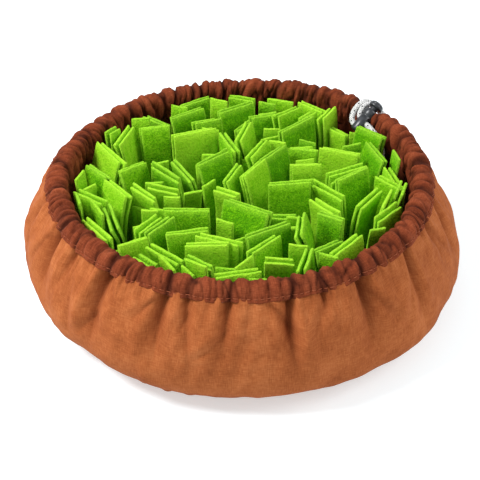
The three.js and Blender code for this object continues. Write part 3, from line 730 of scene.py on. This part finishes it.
# ---- Outer wall ----
WALL_PROFILE = [
    (124.4, 0.3), (133.6, 8), (141.2, 17), (143.2, 28), (141.2, 42), (135.6, 58), (126.4, 73), (122.6, 77.0),
]
# How high the wall's top comes where it is pressed down.
PRESSED_TOP = 70.5
# Short slanting creases: degrees round and share of the wall at the upper and at the lower end,
# then the depth in mm.
SLANTS = [
    (248, 0.93, 243, 0.74, 2.6), (268, 0.78, 259, 0.54, 1.5), (278, 0.95, 284, 0.66, 3.0),
    (305, 0.9, 312, 0.55, 2.4), (222, 0.8, 223, 0.34, 2.0), (232, 0.66, 226, 0.42, 1.5),
    (233, 0.97, 237, 0.78, 1.8), (258, 0.94, 255, 0.7, 1.6), (291, 0.9, 287, 0.62, 1.4),
    (322, 0.84, 316, 0.55, 1.7), (336, 0.95, 342, 0.6, 2.2), (205, 0.9, 199, 0.5, 2.2),
    (187, 0.95, 193, 0.6, 1.8), (10, 0.95, 16, 0.6, 2.2), (60, 0.92, 52, 0.6, 2.4),
    (112, 0.94, 119, 0.6, 2.2), (150, 0.92, 143, 0.55, 2.2), (170, 0.9, 175, 0.6, 1.8),
]
SLANT_WIDTH = 2.6
# Where the lower wall sags out or in: degrees round, half width in degrees, reach up the wall,
# and how far out in mm.
WALL_BULGES = [(328, 24, 0.26, 5.2), (226, 18, 0.24, -1.6)]
FOLD_DEPTH = 1.7
# The turn by which a fold bends, and the swells beside it, as shares of its depth: the one that
# it leans towards and the one behind it.
FOLD_BEND = 0.03
RIDGE_NEAR = 0.3
RIDGE_FAR = 0.12
# Heights and depths in mm of what the wall has besides its folds, and the strength of the painted shade at
# its foot.
BULGE_HEIGHT = 1.2
STREAK_HEIGHT = 0.25
DENT_SIZE = 15
DENT_DEPTH = 1.5
PUCKERS = 52
PUCKER_DEPTH = 0.9
FOOT_SHADE = 0.55
WALL_COLUMNS = 1080
WALL_ROWS = 84
WALL_UV_RADIUS = 140


def wall_swell(angles, share):
    """How far the wall stands out, and how shaded its folds are, from its base to its top."""
    swell = np.zeros(np.broadcast(angles, share).shape)
    shade = np.zeros_like(swell)
    for at, depth, reach, lean, half in WALL_FOLDS:
        centre = math.radians(at) + math.radians(lean) * (1 - share) ** 1.2
        centre = centre + FOLD_BEND * np.sin(5 * share + at) * (1 - share)
        off = turn_from(centre, angles)
        width = math.radians(half) * (1.55 - 1.15 * share)
        shows = ramp(share, 1 - reach, 1 - reach * 0.15)
        trough = bell(off, width, 1.15)
        leaning = off * math.copysign(1, lean)
        near = bell(leaning - 1.9 * width, 1.1 * width)
        far = bell(leaning + 2.4 * width, 1.5 * width)
        swell += FOLD_DEPTH * depth * shows * (RIDGE_NEAR * near + RIDGE_FAR * far - trough)
        # Painted shade down the fold's trough.
        shade += depth / 5 * shows**1.5 * bell(off, 0.8 * width)
    for top_at, top, low_at, low, depth in SLANTS:
        part = np.clip((top - share) / (top - low), 0, 1)
        centre = math.radians(top_at) + math.radians(low_at - top_at) * part
        off = turn_from(centre, angles) * RIM_RADIUS
        strength = depth * np.sin(math.pi * part**0.8) ** 0.8
        lit = off * math.copysign(1, low_at - top_at)
        swell -= strength * bell(off, SLANT_WIDTH, 1.2)
        swell += 0.45 * strength * bell(lit - 2.4 * SLANT_WIDTH, 1.5 * SLANT_WIDTH)
        # Painted shade along the slanting crease.
        shade += strength / 7 * bell(off, SLANT_WIDTH)
    seam, seam_shade = gather_row(angles, 0.0)
    swell += np.maximum(seam, -2.4) * ramp(share, 0.8, 0.98)
    # Painted shade under the casing's creases at the top of the wall.
    shade += seam_shade * ramp(share, 0.88, 1.0)
    bulge = ring_waves(angles + 0.1 * np.sin(5 * share), 3, 4, 12)
    swell += BULGE_HEIGHT * bulge * np.sin(math.pi * share) ** 0.7
    streaks = ring_waves(angles + 0.05 * np.sin(4 * share + 1), 31, 30, 90, count=14)
    swell += STREAK_HEIGHT * streaks * ramp(share, 0.1, 0.8)
    skewed = angles + 0.25 * share * ring_waves(angles, 41, 3, 11)
    band = ring_points(skewed, 135, np.zeros_like(angles) + 34 * share)
    dents = np.abs(crumple(band, DENT_SIZE, 13))
    swell += DENT_DEPTH * (dents**0.7 - 0.3) * ramp(share, 0.35, 0.8) * (1 - ramp(share, 0.93, 1))
    # Painted shade along the creases between the dents.
    shade += 0.22 * bell(dents, 0.07, 1.3) * ramp(share, 0.4, 0.8)
    puckers = np.sin(PUCKERS * angles + 2 * ring_waves(angles, 12, 2, 13))
    swell += PUCKER_DEPTH * puckers * (1 + ring_waves(angles, 6, 2, 9)) * bell(share - 0.07, 0.07)
    # Painted shade, darker towards the wall's foot.
    shade += FOOT_SHADE * (1 - ramp(share, 0.0, 0.42))
    return swell, np.clip(shade, 0, 1)


def make_wall():
    """The outer cloth from the base to the casing, with its folds and its puckered foot."""
    angles = np.linspace(0, TURN, WALL_COLUMNS, endpoint=False)[None, :]
    profile = spline(WALL_PROFILE, WALL_ROWS)
    share = np.linspace(0, 1, WALL_ROWS)[:, None]
    press = pinch(angles, 0.5, crest=0.0) * ramp(share, 0.55, 1)
    swell, shade = wall_swell(angles, share)
    radius = profile[:, :1] + swell * (1 - press) - DENT_IN * rim_dent(angles) * share**2
    for at, half, reach, out in WALL_BULGES:
        off = turn_from(math.radians(at), angles)
        radius = radius + out * bell(off, math.radians(half)) * bell(share - 0.18, reach)
    height = profile[:, 1:] * (1 + rim_rise(angles) / RIM_HEIGHT)
    drop = np.maximum(0, height - PRESSED_TOP + 7 * (1 - share)) * ramp(share, 0.6, 1)
    height = height - press * drop
    points = ring_points(angles, radius, height)
    rough = crumple(points, 9, 1) * 0.5 + crumple(points * (1, 1, 0.5), 24, 2) * 2.0
    away = ring_points(angles, np.ones_like(radius), 0 * radius)
    points = points + away * (rough * ramp(share, 0.0, 0.1))[..., None]
    inner = points - away * CLOTH
    inner[..., 2] = np.maximum(inner[..., 2], 0.3)
    uvs = cloth_uvs(angles * WALL_UV_RADIUS, lengths_along(profile)[:, None])
    wall = hemmed_band("wall_linen", points, inner[[0, -1]], uvs, shade)
    dress(wall, WALL_CLOTH, "wall_cloth", "outer_wall")


def make_base():
    """The round base: a slightly uneven underside, a puckered edge and the upper side."""
    rings, columns = 16, 180
    rows = []
    for k in range(rings):
        radius = BASE_RADIUS * (k + 0.4) / (rings - 0.6)
        rows.append((radius, 0.25 * math.sin(radius / 9) ** 2 if k < rings - 2 else 0.0, 0.0))
    rows += [(BASE_RADIUS + 0.6, 0.5, 0.3), (BASE_RADIUS + 0.3, CLOTH, 0.3), (80, CLOTH, 0.0)]
    radius, height, pucker = (np.array(column)[:, None] for column in zip(*rows))
    angles = np.linspace(0, TURN, columns, endpoint=False)[None, :]
    uneven = radius + pucker * np.sin(60 * angles)
    points = ring_points(angles, uneven, np.broadcast_to(height, uneven.shape)).reshape(-1, 3)
    uvs = cloth_uvs(radius * np.cos(angles), radius * np.sin(angles))
    faces = [face[::-1] for face in grid_faces(len(rows), columns)]
    faces.append(list(range(columns))[::-1])
    faces.append([(len(rows) - 1) * columns + j for j in range(columns)])
    base = dress(mesh_piece("base_linen", points, faces, uvs), WALL_CLOTH, "wall_cloth", "base_panel")


# ---- Rim casing ----
# The casing's outer surface, from the stitched outer edge over the crest to the inner edge.
CASING_SECTION = [
    (125.8, 76.0), (125.2, 77.4), (123.9, 79.2), (121.6, 81.3), (119.2, 82.6), (116.5, 83.0), (114.2, 82.4),
    (112.4, 80.7), (111.5, 78.0), (111.3, 74), (112.0, 68), (113.2, 62),
]
PRESSED_SECTION = [
    (128.6, 69.2), (127.0, 71.2), (125.6, 72.3), (124.2, 73.6), (122.3, 74.6), (120.2, 75.1), (118.4, 74.6),
    (117.0, 73.2), (116.3, 70.9), (115.4, 66), (114.4, 60), (113.5, 55),
]
CASING_COLUMNS = 1500
CASING_ROWS = 48
CASING_WIDTH = 42
CASING_EDGE = 1.3
GATHERED_FULLNESS = 1.5
SECTION_POINTS = 400
FREE_CURVE = spline(CASING_SECTION, SECTION_POINTS)
PRESSED_CURVE = spline(PRESSED_SECTION, SECTION_POINTS)
# The topstitching: its place across the casing, and in mm the stitches' lengths and the gaps
# between them, the thread's radius and the radius of the ring that it runs round.
STITCH_SHARE = 0.056
STITCH_LENGTHS = (2.5, 3.0)
STITCH_GAPS = (0.9, 1.3)
STITCH_RADIUS = 0.34
STITCH_RING = 127
# How far along the lock's axis the cap comes when it is pressed, and its radius with some room.
CAP_REACH = 9.3
CAP_ROOM = 6.2


def under_cap(points):
    """The points, moved back along the lock's axis where a pressed button's cap would meet them."""
    start, turn = lock_axis()
    axis = np.array(turn @ Vector((0, 0, 1)))
    reach = points - np.array(start)
    depth = reach @ axis
    off_axis = np.linalg.norm(reach - depth[..., None] * axis, axis=-1)
    over = np.maximum(0, depth - CAP_REACH) * (1 - ramp(off_axis, CAP_ROOM, CAP_ROOM + 2))
    return points - over[..., None] * axis


def casing_row(angles, share):
    """The casing's outer face along one row round the rim: points, the way out of it, shade."""
    row = round(min(max(share, 0), 1) * (SECTION_POINTS - 1))
    ahead = min(row + 5, SECTION_POINTS - 1)
    behind = max(row - 5, 0)
    press = pinch(angles, crest=ramp(share, 0.12, 0.4))
    radius = mix(FREE_CURVE[row, 0], PRESSED_CURVE[row, 0], press) - DENT_IN * rim_dent(angles)
    height = mix(FREE_CURVE[row, 1] + rim_rise(angles), PRESSED_CURVE[row, 1], press)
    free = FREE_CURVE[ahead] - FREE_CURVE[behind]
    pressed = PRESSED_CURVE[ahead] - PRESSED_CURVE[behind]
    dr = mix(free[0], pressed[0], press)
    dz = mix(free[1], pressed[1], press)
    size = np.hypot(dr, dz)
    out_r, out_z = dz / size, -dr / size
    swell, shade = crumpled_row(angles, share)
    swell = swell - 0.45 * bell(share - STITCH_SHARE, 0.018)
    swell = swell * (1 - 0.75 * press)
    hem = (1.0 * ring_waves(angles, 28, 12, 34) - 0.7 + 0.7 * np.sin(angles)) * (1 - press)
    hem = hem * bell(share, 0.1)
    points = ring_points(angles, radius + out_r * swell, height + out_z * swell + hem)
    away = np.stack([out_r * np.cos(angles), out_r * np.sin(angles), out_z], axis=-1)
    return under_cap(points), away, shade * (1 - press)


def make_casing():
    """The gathered cloth tunnel over the rim, from its stitched outer edge to its inner edge."""
    angles = np.linspace(0, TURN, CASING_COLUMNS, endpoint=False)
    shares = np.linspace(0, 1, CASING_ROWS) ** 1.15
    points, away, shade = (np.stack(parts) for parts in zip(*(casing_row(angles, x) for x in shares)))
    edges = points[[0, -1]] - away[[0, -1]] * CASING_EDGE
    uvs = cloth_uvs(angles * RIM_RADIUS * GATHERED_FULLNESS, shares[:, None] * CASING_WIDTH)
    casing = hemmed_band("casing_linen", points, edges, uvs, shade)
    dress(casing, CASING_CLOTH, "casing_cloth", "rim_casing")


def make_topstitch():
    """A row of thread stitches just above the casing's outer edge."""
    rng = random.Random(4)
    vertices, faces = [], []
    steps, sides = 6, 6
    up = np.array((0, 0, 1.0))
    angle = 0.0
    while angle < TURN - 0.02:
        span = rng.uniform(*STITCH_LENGTHS) / STITCH_RING
        points, away, _ = casing_row(np.linspace(angle, angle + span, steps), STITCH_SHARE)
        if float(pinch(angle)) < 0.05:
            first = len(vertices)
            for i in range(steps):
                arch = math.sin(math.pi * i / (steps - 1))
                lift = 0.42 * arch**0.6 - 0.1
                thick = STITCH_RADIUS * (0.55 + 0.45 * arch)
                for j in range(sides):
                    a = TURN * j / sides
                    out = away[i] * (lift + thick * math.cos(a))
                    vertices.append(points[i] + out + up * thick * math.sin(a))
            faces += [tuple(first + x for x in face)[::-1] for face in grid_faces(steps, sides)]
            faces.append([first + k for k in range(sides)])
            faces.append([first + (steps - 1) * sides + k for k in range(sides)][::-1])
        angle += span + rng.uniform(*STITCH_GAPS) / STITCH_RING
    dress(mesh_piece("casing_topstitch", vertices, faces), THREAD, "casing_cloth")


# ---- Inner cloth ----
SIDE_PROFILE = [(83.5, 4.3), (98, 8), (107.5, 16), (112, 30), (113.4, 50), (114, 69)]
SIDE_UV_RADIUS = 110
SIDE_WIDTH = 82
# How far down and out its top goes where the rim is pressed, and its pleats' height.
SIDE_PRESS = (8.5, 3.2)
PLEAT_HEIGHT = 0.8
FLOOR_RADIUS = 84.0
FLOOR_TOP = 4.2


def make_inner_side():
    """The cup's side, with pleats that grow towards the rim."""
    columns, rows = 720, 40
    angles = np.linspace(0, TURN, columns, endpoint=False)[None, :]
    profile = spline(SIDE_PROFILE, rows)
    share = np.linspace(0, 1, rows)[:, None]
    press = pinch(angles) * ramp(share, 0.6, 1)
    down, out = SIDE_PRESS
    height = profile[:, 1:] + rim_rise(angles) * share**2 / 2 - down * press
    pleat, _ = gather_row(angles, 1.0)
    swell = PLEAT_HEIGHT * (pleat + 0.5) * ramp(share, 0.1, 0.75) * (1 - ramp(share, 0.9, 1) * 0.6)
    radius = profile[:, :1] - 0.3 - swell * 0.9 + out * press
    radius = radius - DENT_IN * rim_dent(angles) * share**2
    points = ring_points(angles, radius, height).reshape(-1, 3)
    faces = [face[::-1] for face in grid_faces(rows, columns)]
    uvs = cloth_uvs(angles * SIDE_UV_RADIUS, share * SIDE_WIDTH)
    side = mesh_piece("inner_side_linen", points, faces, uvs)
    dress(side, INNER_MATERIAL, "inner_cloth", "inner_side")


def make_inner_floor():
    """The cup's round floor, slightly uneven."""
    rings, spokes = 24, 120
    vertices, uvs = [(0, 0, FLOOR_TOP)], [(0, 0)]
    for k in range(1, rings + 1):
        for j in range(spokes):
            x, y, _ = polar(TURN * j / spokes, FLOOR_RADIUS * k / rings, 0)
            vertices.append((x, y, FLOOR_TOP + 0.3 * noise.noise(Vector((x / 15, y / 15, 0)))))
            uvs.append((x, y))
    faces = [(0, 1 + j, 1 + (j + 1) % spokes) for j in range(spokes)]
    for face in grid_faces(rings, spokes):
        faces.append(tuple(1 + x for x in face)[::-1])
    floor = mesh_piece("inner_floor_linen", vertices, faces, uvs)
    dress(floor, INNER_MATERIAL, "inner_cloth", "inner_floor")


# ---- Felt strips ----
# Strips past the number of solids: the middle of the upper edge in x and y, its height, turn and
# lean in degrees, the width, and the number of leaves.
SMALL_STRIPS = [
    (-56, 78, 74, -37, 5, 20, 2), (-50, -10, 75, -11, -15, 20, 2), (-38, 9, 75, -55, -15, 26, 2),
    (-24, 74, 76, 31, 10, 20, 2), (-10, 46, 75, -67, 0, 24, 2), (51, 82, 77, 54, 15, 16, 2),
    (51, -22, 73, -55, -12, 24, 2), (24, -85, 76, 5, -10, 18, 2), (-56, -87, 76, -52, -5, 18, 2),
    (44, 18, 74, 4, 10, 20, 2), (13, 96, 76, -25, 0, 13, 1), (80, 38, 76, 12, 0, 12, 1),
    (79, 57, 74, 0, 0, 10, 1), (-57, -36, 76, 6, 0, 11, 1), (56, -42, 76, -36, 0, 18, 2),
    (98, 11, 74, -76, 8, 16, 2), (-33, -94, 76, -41, 0, 12, 1), (-92, -12, 76, 52, 0, 10, 1),
    (68, 70, 70, -40, 0, 14, 2),
]
# Pockets that fill-in leaves stay out of: the sides in x and y. The last is the lock's.
POCKETS = [
    (50, -60, 79, -29), (-39, -32, -14, -8), (33, 3, 59, 25), (-70, 26, -48, 48), (53, 39, 74, 60),
    (-41, 25, -23, 42), (-19, -60, -1, -44), (-68, 68, -52, 84), (14, -105, 29, -90), (2, -24, 17, -10),
    (-15, 57, -3, 71), (-69, -41, -56, -29), (94, 3, 108, 12), (-68, 80, -48, 98), (-24, 92, -8, 110),
    (72, 42, 104, 80),
]
# The heights at which strips are compared, the one at which they may not be in a pocket, and how
# far they may reach into its edge.
CLASH_HEIGHTS = (14, 34, 50, 60, 67, 73, 78)
POCKET_HEIGHT = 50
POCKET_EDGE = 2
# The rounding of a strip's foot, where its leaves part above the foot, the band along its cut
# edges that is painted paler as a highlight, how thick its ends are as a share, and how far its
# faces and cut edges waver, in mm.
FOOT_ROUND = 1.0
LEAF_PART = 2.4
CUT_BAND = 1.2
END_THINNING = 0.72
LEAF_BULGE = 0.45
SIDE_WAVER = 0.35
TOP_WAVER = 0.4
# Strips whose feet are further apart can't touch.
STRIP_REACH = 60
# Radius to height of the cup under a strip's foot, and height to radius of the room beside it.
FOOT_HEIGHTS = [(84, 6), (98, 9.5), (107.5, 18), (112, 32)]
CUP_ROOM = [(14, 103), (34, 108.5), (60, 109.5), (70, 109)]
# How a small strip is moved until it fits: tries on a spiral, its turn and reach, and the room kept.
FIT_TRIES = 26
FIT_TURN = 2.4
FIT_AWAY = 1.6
FIT_ROOM = 0.5
# Where filler leaves are tried: places round the ring, the tries and the room there; then grids,
# each with its leaves' width and its step, and the tries and the room there. In mm.
RING_PLACES = 120
RING_TRIES = 40
RING_ROOM = 0.8
GRIDS = ((27, 10), (22, 9), (17, 8), (12, 7))
GRID_TRIES = 8
GRID_ROOM = 1.2


def boxes_touch(a, b, room):
    """True if two flat boxes (middle, edge direction, half sides) come within room mm."""
    (ax, ay), (ux, uy), a_wide, a_thick = a
    (bx, by), (vx, vy), b_wide, b_thick = b
    for x, y in ((ux, uy), (-uy, ux), (vx, vy), (-vy, vx)):
        reach = a_wide * abs(ux * x + uy * y) + a_thick * abs(uy * x - ux * y)
        reach += b_wide * abs(vx * x + vy * y) + b_thick * abs(vy * x - vx * y)
        if abs((bx - ax) * x + (by - ay) * y) > reach + room:
            return False
    return True


class Strip:
    """One folded strip: the foot's middle, the way along its edge, and how it stands."""

    def __init__(self, foot, along, wide, top, lean, leaves):
        self.foot = foot
        self.along = along
        self.across = Vector((-along.y, along.x, 0))
        self.wide = wide
        self.lean = lean
        self.leaves = leaves
        self.thick = leaves * FELT + (leaves - 1) * LEAF_GAP
        bend_height = FELT_BEND * (math.sin(lean) / lean if abs(lean) > 0.01 else 1)
        self.length = top - foot.z - bend_height + FELT_BEND
        self.straight = self.length - FELT_BEND

    def leaf_middle(self, leaf):
        """How far across the strip the middle of a leaf is."""
        return leaf * (FELT + LEAF_GAP) - self.thick / 2 + FELT / 2

    def line(self, s):
        """Sideways place, height and slope of the strip's middle line at s mm from its foot."""
        bent = max(0.0, s - self.straight)
        if abs(self.lean) < 0.01 or bent == 0:
            return 0.0, s, 0.0
        slope = self.lean * bent / FELT_BEND
        radius = FELT_BEND / self.lean
        return radius * (1 - math.cos(slope)), self.straight + radius * math.sin(slope), slope

    def section(self, height):
        """The flat box that the strip fills at a height: middle, edge direction, half sides."""
        rise = height - self.foot.z
        if rise < 0 or rise > self.line(self.length)[1] + 1:
            return None
        bent = max(0.0, rise - self.straight)
        side = self.lean * bent * bent / (2 * FELT_BEND)
        middle = self.foot + self.across * side
        return ((middle.x, middle.y), (self.along.x, self.along.y), self.wide / 2,
                self.thick / 2 / math.cos(self.lean))

    def sections(self):
        """The heights that it reaches, each with its flat box there."""
        boxes = [(height, self.section(height)) for height in CLASH_HEIGHTS]
        return [(height, box) for height, box in boxes if box is not None]

    def clear_of(self, others, room):
        """True if the strip keeps that much room from the others at every height."""
        near = [other for other in others if (other.foot - self.foot).length < STRIP_REACH]
        for height, own in self.sections():
            for other in near:
                theirs = other.section(height)
                if theirs is not None and boxes_touch(own, theirs, room):
                    return False
        return True

    def in_bowl(self):
        """True if its corners stay inside the cup at every height."""
        for height, ((x, y), (ux, uy), wide, thick) in self.sections():
            corners = [(x + i * wide * ux - j * thick * uy, y + i * wide * uy + j * thick * ux)
                       for i in (-1, 1) for j in (-1, 1)]
            room = along_table(CUP_ROOM, height)
            for corner in corners:
                dent = DENT_IN * float(rim_dent(math.atan2(corner[1], corner[0]))) * (height / 80) ** 2
                if math.hypot(*corner) > room - dent:
                    return False
        return True

    def in_pocket(self):
        """True if it stands more than POCKET_EDGE into one of the pockets."""
        own = self.section(POCKET_HEIGHT)
        for x0, y0, x1, y1 in POCKETS:
            pocket = (((x0 + x1) / 2, (y0 + y1) / 2), (1, 0), (x1 - x0) / 2, (y1 - y0) / 2)
            if boxes_touch(own, pocket, -POCKET_EDGE):
                return True
        return False


def strip_at(x, y, top, turn, lean, wide, leaves):
    """A strip from the middle of its upper edge; it stands on the cup's floor or curved side."""
    edge = math.radians(turn)
    along = Vector((math.cos(edge), math.sin(edge), 0))
    lean = math.radians(lean)
    side = FELT_BEND * lean / 2
    foot = Vector((x + side * math.sin(edge), y - side * math.cos(edge), 0))
    foot.z = along_table(FOOT_HEIGHTS, foot.xy.length + wide / 2)
    return Strip(foot, along, wide, top, lean, leaves)


def fitted(row, placed):
    """The strip of a row, moved as little as it takes to stand clear, or None."""
    x, y, *rest = row
    for step in range(FIT_TRIES):
        turn = FIT_TURN * step
        away = FIT_AWAY * math.sqrt(step)
        strip = strip_at(x + away * math.cos(turn), y + away * math.sin(turn), *rest)
        if strip.in_bowl() and strip.clear_of(placed, FIT_ROOM):
            return strip
    return None


def filler_strips(placed):
    """Leaves that fill the room between the others, first round the ring, then on loose grids."""
    rng = random.Random(77)
    draw = rng.uniform
    fillers = []

    def by_the_ring(angle):
        around = polar(angle, draw(97, 107.5) - DENT_IN * float(rim_dent(angle)), 0)
        off = draw(-60, 60)
        leaves = rng.choice([1, 2, 2])
        return strip_at(around.x, around.y, draw(79, 83) + float(rim_rise(angle)) / 2,
                        math.degrees(angle) + 90 + off, -draw(2, 16), draw(11, 20), leaves)

    def by_the_grid(x, y, wide):
        return strip_at(x + draw(-4, 4), y + draw(-4, 4), draw(65, 77), rng.gauss(0, 27),
                        draw(-24, 24), wide * draw(0.94, 1.08), 2 if wide > 12 else 1)

    def keep_first_clear(tries, room, drawn, *place):
        for _ in range(tries):
            strip = drawn(*place)
            if strip.in_bowl() and not strip.in_pocket() and strip.clear_of(placed + fillers, room):
                fillers.append(strip)
                return

    for step in range(RING_PLACES):
        keep_first_clear(RING_TRIES, RING_ROOM, by_the_ring, TURN * step / RING_PLACES)
    for wide, step in GRIDS:
        for x in range(-100, 101, step):
            for y in range(-100, 101, step):
                keep_first_clear(GRID_TRIES, GRID_ROOM, by_the_grid, x, y, wide)
    return fillers


def strip_of(node):
    """Reads a strip's place and stance from its solid."""
    corners = [v.co / MM for v in frame["nodes"][node].data.vertices]
    low = min(c.z for c in corners)
    high = max(c.z for c in corners)
    feet = [c for c in corners if c.z < low + 0.02]
    first = feet[0]
    far = max(feet, key=lambda c: (c - first).length)
    near = min((c for c in feet if (c - first).length > 0.5), key=lambda c: (c - first).length)
    across = (near - first).normalized()
    along = (far - first) - across * (far - first).dot(across)
    middle = sum(feet, Vector()) / len(feet)
    wide = along.length
    along.normalize()
    tops = [c for c in corners if c.z > high - 1.6]
    side = (sum(tops, Vector()) / len(tops) - middle).dot(Vector((-along.y, along.x, 0)))
    lean = 2 * side / FELT_BEND
    span = max(c.dot(across) for c in feet) - min(c.dot(across) for c in feet)
    leaves = round((span + 2 + LEAF_GAP) / (FELT + LEAF_GAP))
    return Strip(middle, along, wide, high - 0.9 * abs(math.sin(lean)), lean, leaves)


def cut_share(distance):
    """1 at a cut edge, fading to 0 at CUT_BAND from it."""
    return max(0.0, 1 - distance / CUT_BAND)


def strip_outline(strip, extra, steps):
    """The section of a strip, up one face of each leaf and down the other.

    It gives places (across, up, leaf) and how near each is to a cut edge; extra is what each
    leaf has beyond the strip's length.
    """
    outline, cuts = [], []
    for leaf in range(strip.leaves):
        left = strip.leaf_middle(leaf) - FELT / 2
        right = left + FELT
        top = strip.length + extra[leaf]
        first = FOOT_ROUND if leaf == 0 else LEAF_PART
        last = FOOT_ROUND if leaf == strip.leaves - 1 else LEAF_PART
        climb = np.linspace(first, top - 0.5, steps)
        outline += [(left, s, leaf) for s in climb]
        cuts += [cut_share(top - s) for s in climb]
        outline += [(left + 0.35, top, leaf), ((left + right) / 2, top + 0.15, leaf)]
        outline.append((right - 0.35, top, leaf))
        cuts += [1.0, 1.0, 1.0]
        descent = np.linspace(top - 0.5, last, steps)
        outline += [(right, s, leaf) for s in descent]
        cuts += [cut_share(top - s) for s in descent]
    foot = strip.thick / 2 - FOOT_ROUND
    outline += [(foot, 0, strip.leaves - 1), (-foot, 0, 0)]
    cuts += [0.0, 0.0]
    return outline, cuts


def felt_piece(name, strip, seed, slant, steps=16, ends=13):
    """A strip of felt folded at its foot: leaves that fan a little, with soft uneven cut edges.

    slant is how far aslant its top may be cut; steps and ends are points up and across a leaf.
    """
    rng = random.Random(seed)
    extra = [rng.uniform(-1.1, 0.5) for _ in range(strip.leaves)]
    fan = [rng.uniform(-0.35, 0.35) for _ in range(strip.leaves)]
    if strip.leaves == 2:
        fan = [-rng.uniform(0, 0.7), rng.uniform(0, 0.7)]
    outline, cuts = strip_outline(strip, extra, steps)
    half = strip.wide / 2
    inner = np.linspace(-half + 1.6, half - 1.6, ends)
    stations = [-half, -half + 0.35, *inner, half - 0.35, half]
    skew = [rng.uniform(-0.02, 0.02) for _ in range(strip.leaves)]
    slant = rng.uniform(-slant, slant)
    taper = [rng.uniform(-0.7, 0.4) for _ in range(strip.leaves)]
    twist = rng.uniform(-0.035, 0.035)
    shift = Vector((seed * 1.7, seed * 2.9, seed * 0.7))
    vertices, painted_edge_highlight = [], []
    for w in stations:
        for (t, s, leaf), cut in zip(outline, cuts):
            rise = max(0.0, s / strip.length)
            middle = strip.leaf_middle(leaf)
            inset = (t - middle) * (END_THINNING if abs(w) == half else 1)
            bulge = LEAF_BULGE * noise.noise(Vector((w / 11, s / 13, leaf * 3.1)) + shift) * min(1, rise * 2)
            along = w * (1 + twist * rise) + skew[leaf] * s + taper[leaf] * (w / half) * rise
            if abs(w) > half - 1:
                along += SIDE_WAVER * noise.noise(Vector((s / 3.5, w, leaf * 5.0)) + shift)
            climb = s + (skew[leaf] * w * rise + (slant * w - abs(slant) * half) * rise**2)
            if cut > 0.9:
                climb += TOP_WAVER * noise.noise(Vector((w / 3.0, leaf * 7.0, 1.0)) + shift)
            side, height, slope = strip.line(max(0.0, climb))
            out = middle + fan[leaf] * rise**2 + inset + bulge
            side += out * math.cos(slope) + twist * w * rise * 3
            height -= out * math.sin(slope)
            vertices.append(strip.foot + strip.along * along + strip.across * side + Vector((0, 0, height)))
            painted_edge_highlight.append(max(cut, cut_share(half - abs(w))))
    count = len(outline)
    last = (len(stations) - 1) * count
    faces = [face[::-1] for face in grid_faces(len(stations), count)]
    faces += [list(range(count)), list(range(last, last + count))[::-1]]
    piece = mesh_piece(name, vertices, faces)
    # The cut attribute carries a painted highlight along the cut edges.
    mark(piece, "cut", painted_edge_highlight)
    mark(piece, "dye", [rng.uniform(0, 1)] * len(vertices))
    return piece


def add_felt(piece, strip, *replaced):
    dress(piece, FELT_MATERIAL, "felt", *replaced)


def make_strips():
    """A piece for each strip of the solids, then the small strips and the fillers."""
    placed = []
    nodes = sorted(n for n in frame["nodes"] if n.startswith("felt_strip_"))
    for seed, node in enumerate(nodes, 1):
        placed.append(strip_of(node))
        name = node.replace("felt_strip", "felt_leaves")
        add_felt(felt_piece(name, placed[-1], seed, slant=0.06), placed[-1], node)
    small = []
    for row in SMALL_STRIPS:
        strip = fitted(row, placed + small)
        if strip is None:
            print("no room for the small strip at", row[:2])
        else:
            small.append(strip)
    small += filler_strips(placed + small)
    for number, strip in enumerate(small, 1):
        name = f"small_felt_leaves_{number:03d}"
        add_felt(felt_piece(name, strip, 100 + number, slant=0.2, steps=10, ends=8), strip)
    print(f"felt strips: {len(placed)} in the solids, {len(small)} more")


# ---- Stage ----
FLOOR_SIZE = 4.0
FLOOR_COLOUR = (203, 214, 218)
FLOOR_GLOW = 0.5
WORLD_LIGHT = 0.58
LIGHT_AIM = Vector((0, 0, 0.04))
# Each light's name, place and size in m, and power in W.
LIGHTS = [("key", (-1.15, -0.12, 1.45), 0.7, 40), ("fill", (1.35, -0.05, 1.0), 1.0, 12)]


def make_stage():
    """A pale floor that glows a little, so that it is white where no shadow falls."""
    mesh = bpy.data.meshes.new("floor")
    size = FLOOR_SIZE
    corners = [(-size, -size, 0), (size, -size, 0), (size, size, 0), (-size, size, 0)]
    mesh.from_pydata(corners, [], [(0, 1, 2, 3)])
    floor = bpy.data.objects.new("floor", mesh)
    bpy.context.scene.collection.objects.link(floor)
    paper = Shade("floor_paper", roughness=0.9)
    paper.shader.inputs["Emission Color"].default_value = (1, 1, 1, 1)
    paper.shader.inputs["Emission Strength"].default_value = FLOOR_GLOW
    mesh.materials.append(paper.finish(linear(*FLOOR_COLOUR)))


def area_light(name, place, size, power):
    light = bpy.data.lights.new(name, "AREA")
    light.shape = "DISK"
    light.size = size
    light.energy = power
    lamp = bpy.data.objects.new(name, light)
    lamp.location = place
    lamp.rotation_euler = (LIGHT_AIM - Vector(place)).to_track_quat("-Z", "Y").to_euler()
    bpy.context.scene.collection.objects.link(lamp)


def make_lights():
    world = bpy.data.worlds.new("studio")
    world.use_nodes = True
    background = world.node_tree.nodes["Background"]
    background.inputs["Color"].default_value = (1, 1, 1, 1)
    background.inputs["Strength"].default_value = WORLD_LIGHT
    bpy.context.scene.world = world
    for row in LIGHTS:
        area_light(*row)
    bpy.context.scene.view_settings.view_transform = "Standard"


make_camera()
lock = make_lock()
make_cords(lock)
make_wall()
make_base()
make_casing()
make_topstitch()
make_inner_side()
make_inner_floor()
make_strips()
make_stage()
make_lights()
